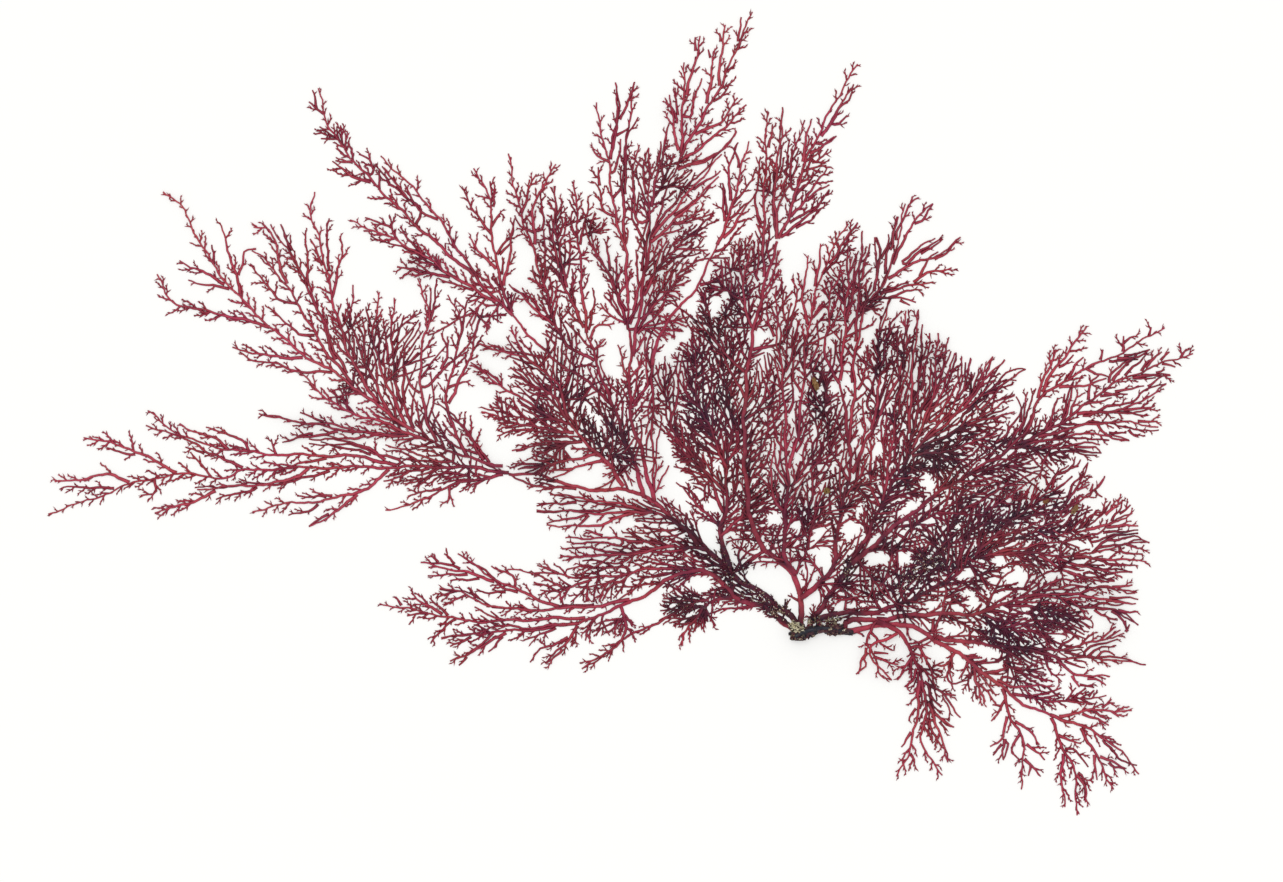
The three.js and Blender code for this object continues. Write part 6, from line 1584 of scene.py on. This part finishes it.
DARK_CRUMBS = (
    ((0.4, -0.8), (1.5, 0.35), 80, 0.19), ((5.4, -0.3), (1.0, 0.4), 50, 0.18),
    ((2.2, 2.1), (1.2, 0.7), 70, 0.17), ((5.2, 1.9), (1.4, 0.8), 90, 0.18),
    ((9.3, -0.5), (1.0, 0.6), 40, 0.17), ((-1.9, -0.6), (0.5, 0.5), 30, 0.17),
    ((-5.0, 4.6), (3.0, 2.6), 130, 0.16), ((-10, 9), (4.4, 3.4), 190, 0.15),
    ((-14.5, 13), (3, 3), 60, 0.14), ((7.8, 10.5), (1.1, 2.4), 60, 0.16),
    ((20.5, 11.5), (3.6, 2.4), 90, 0.14), ((17.5, 9), (2.6, 1.6), 50, 0.14),
    ((-19.5, 5), (4, 1.8), 50, 0.13),
)


def crumbs_mesh(name, patches, rng):
    """Small lumps that lie on whatever is under them."""
    bm = bmesh.new()
    tone = bm.verts.layers.float.new("tone")
    deps = bpy.context.evaluated_depsgraph_get()
    for middle, spread, count, size in patches:
        for _ in range(count):
            x, y = (m + s * max(-1.2, min(1.2, rng.normal(0, 0.5))) for m, s in zip(middle, spread))
            sizes = size * rng.uniform(0.5, 1.25, 3) * (1, 1, 0.7)
            hit, place, *_ = bpy.context.scene.ray_cast(deps, Vector((x, y, RAY_HEIGHT)) * MM, DOWN)
            value = rng.random()
            if not hit:
                continue
            z = min(place.z / MM + sizes[2] * 0.3, CAD_BOX[1][2] / MM - sizes[2])
            for vert in lumpy_ball(bm, (x, y, z), sizes, rng.uniform(0, 3), 1, 0.7, 1.7):
                vert[tone] = value
    mesh = bpy.data.meshes.new(name)
    bm.to_mesh(mesh)
    bm.free()
    return mesh


class SEAWEED_OT_crust(bpy.types.Operator):
    """Build the pale and dark crumbs that cling to the holdfast and the strands near it"""

    bl_idname = "seaweed.crust"
    bl_label = "Crust"
    bl_options = {"REGISTER", "UNDO"}

    def execute(self, context):
        rng = np.random.default_rng(settings("fronds").seed + 1)
        crust = settings("colours").crust[:]
        pale = crumb_material("pale_crust", crust, (0.46, 0.38, 0.25), (0.08, 0.05, 0.05))
        dark = crumb_material("dark_crumbs", (0.022, 0.017, 0.028), (0.115, 0.026, 0.036), (0.2, 0.15, 0.105))
        dark_mesh = crumbs_mesh("dark_crumbs", DARK_CRUMBS, rng)
        pale_mesh = crumbs_mesh("pale_crust", PALE_CRUMBS, rng)
        add_piece("dark_crumbs", dark_mesh, dark, "holdfast")
        add_piece("pale_crust", pale_mesh, pale, "holdfast")
        return {"FINISHED"}


# Brown specks in millimetres: middle, length, width and turn.
SPECKS = (
    ((46.2, 21.0), 1.9, 0.8, 1.0),
    ((2.1, 42.2), 1.9, 0.9, 1.9),
    ((4.0, 24.2), 1.1, 0.9, 0.6),
    ((41.2, 22.3), 1.0, 0.7, 0.3),
)


class SEAWEED_OT_specks(bpy.types.Operator):
    """Build the brown specks that are caught in the fronds"""

    bl_idname = "seaweed.specks"
    bl_label = "Specks"
    bl_options = {"REGISTER", "UNDO"}

    def execute(self, context):
        bm = bmesh.new()
        tone = bm.verts.layers.float.new("tone")
        for (x, y), length, width, turn in SPECKS:
            for vert in lumpy_ball(bm, (x, y, 1.1), (length / 2, width / 2, 0.2), turn, 3, 0.6, 1.6):
                vert[tone] = (0.2 + 0.8 * noise.noise(vert.co / MM * 3)) % 1
        mesh = bpy.data.meshes.new("brown_specks")
        bm.to_mesh(mesh)
        bm.free()
        brown = settings("colours").speck[:]
        speck = crumb_material("brown_speck", brown, (0.30, 0.19, 0.09), (0.10, 0.045, 0.02))
        add_piece("brown_specks", mesh, speck, "holdfast")
        return {"FINISHED"}


class SEAWEED_OT_stage(bpy.types.Operator):
    """Build the floor, the soft light and the camera"""

    bl_idname = "seaweed.stage"
    bl_label = "Stage"
    bl_options = {"REGISTER", "UNDO"}

    def execute(self, context):
        options = settings("stage")
        scene = context.scene
        scene.view_settings.view_transform = "Standard"
        scene.view_settings.look = "None"
        half = 3.0
        mesh = bpy.data.meshes.new("floor")
        corners = [(-half, -half, 0), (half, -half, 0), (half, half, 0), (-half, half, 0)]
        mesh.from_pydata(corners, [], [(0, 1, 2, 3)])
        floor = bpy.data.objects.new("floor", mesh)
        floor.location.z = -0.02 * MM
        scene.collection.objects.link(floor)
        material, tree, shader = new_material("floor_white")
        shader.inputs["Base Color"].default_value = (*[c * (1 - options.glow) for c in options.floor], 1)
        shader.inputs["Emission Color"].default_value = (*options.floor, 1)
        shader.inputs["Emission Strength"].default_value = options.glow * 1.08
        shader.inputs["Roughness"].default_value = 0.9
        shader.inputs["Specular IOR Level"].default_value = 0.0
        mesh.materials.append(material)
        world = bpy.data.worlds.new("soft_sky")
        world.use_nodes = True
        world.node_tree.nodes["Background"].inputs["Color"].default_value = (1, 1, 1, 1)
        world.node_tree.nodes["Background"].inputs["Strength"].default_value = options.sky
        scene.world = world
        lamp = bpy.data.lights.new("overhead", "SUN")
        lamp.energy = options.sun
        lamp.angle = math.radians(25)
        sun = bpy.data.objects.new("overhead", lamp)
        sun.rotation_euler = (math.radians(-14), math.radians(-10), 0)
        scene.collection.objects.link(sun)
        lens = bpy.data.cameras.new("camera")
        lens.lens = options.lens
        lens.clip_end = 20
        camera = bpy.data.objects.new("camera", lens)
        away = options.view_width * options.lens / lens.sensor_width
        camera.location = (*options.centre, away)
        scene.collection.objects.link(camera)
        scene.camera = camera
        return {"FINISHED"}


class SEAWEED_PT_panel(bpy.types.Panel):
    """Sizes, colours and build steps of the pressed seaweed"""

    bl_idname = "SEAWEED_PT_panel"
    bl_label = "Pressed Seaweed"
    bl_space_type = "VIEW_3D"
    bl_region_type = "UI"
    bl_category = "Seaweed"

    def draw(self, context):
        for group in ("fronds", "colours", "stage"):
            box = self.layout.box()
            values = settings(group)
            for name in values.__annotations__:
                box.prop(values, name)
        for step in OPERATORS:
            self.layout.operator(step.bl_idname)


GROUPS = {"fronds": FrondSettings, "colours": ColourSettings, "stage": StageSettings}
OPERATORS = (SEAWEED_OT_fronds, SEAWEED_OT_holdfast, SEAWEED_OT_root, SEAWEED_OT_crust, SEAWEED_OT_specks,
             SEAWEED_OT_stage)
CLASSES = (*GROUPS.values(), *OPERATORS, SEAWEED_PT_panel)


def register():
    for cls in CLASSES:
        bpy.utils.register_class(cls)
    for name, cls in GROUPS.items():
        setattr(bpy.types.Scene, "seaweed_" + name, PointerProperty(type=cls))


def unregister():
    for name in GROUPS:
        delattr(bpy.types.Scene, "seaweed_" + name)
    for cls in reversed(CLASSES):
        bpy.utils.unregister_class(cls)


def main():
    register()
    bpy.ops.seaweed.fronds()
    bpy.ops.seaweed.holdfast()
    bpy.ops.seaweed.root()
    bpy.ops.seaweed.crust()
    bpy.ops.seaweed.specks()
    bpy.ops.seaweed.stage()


if __name__ == "__main__":
    main()
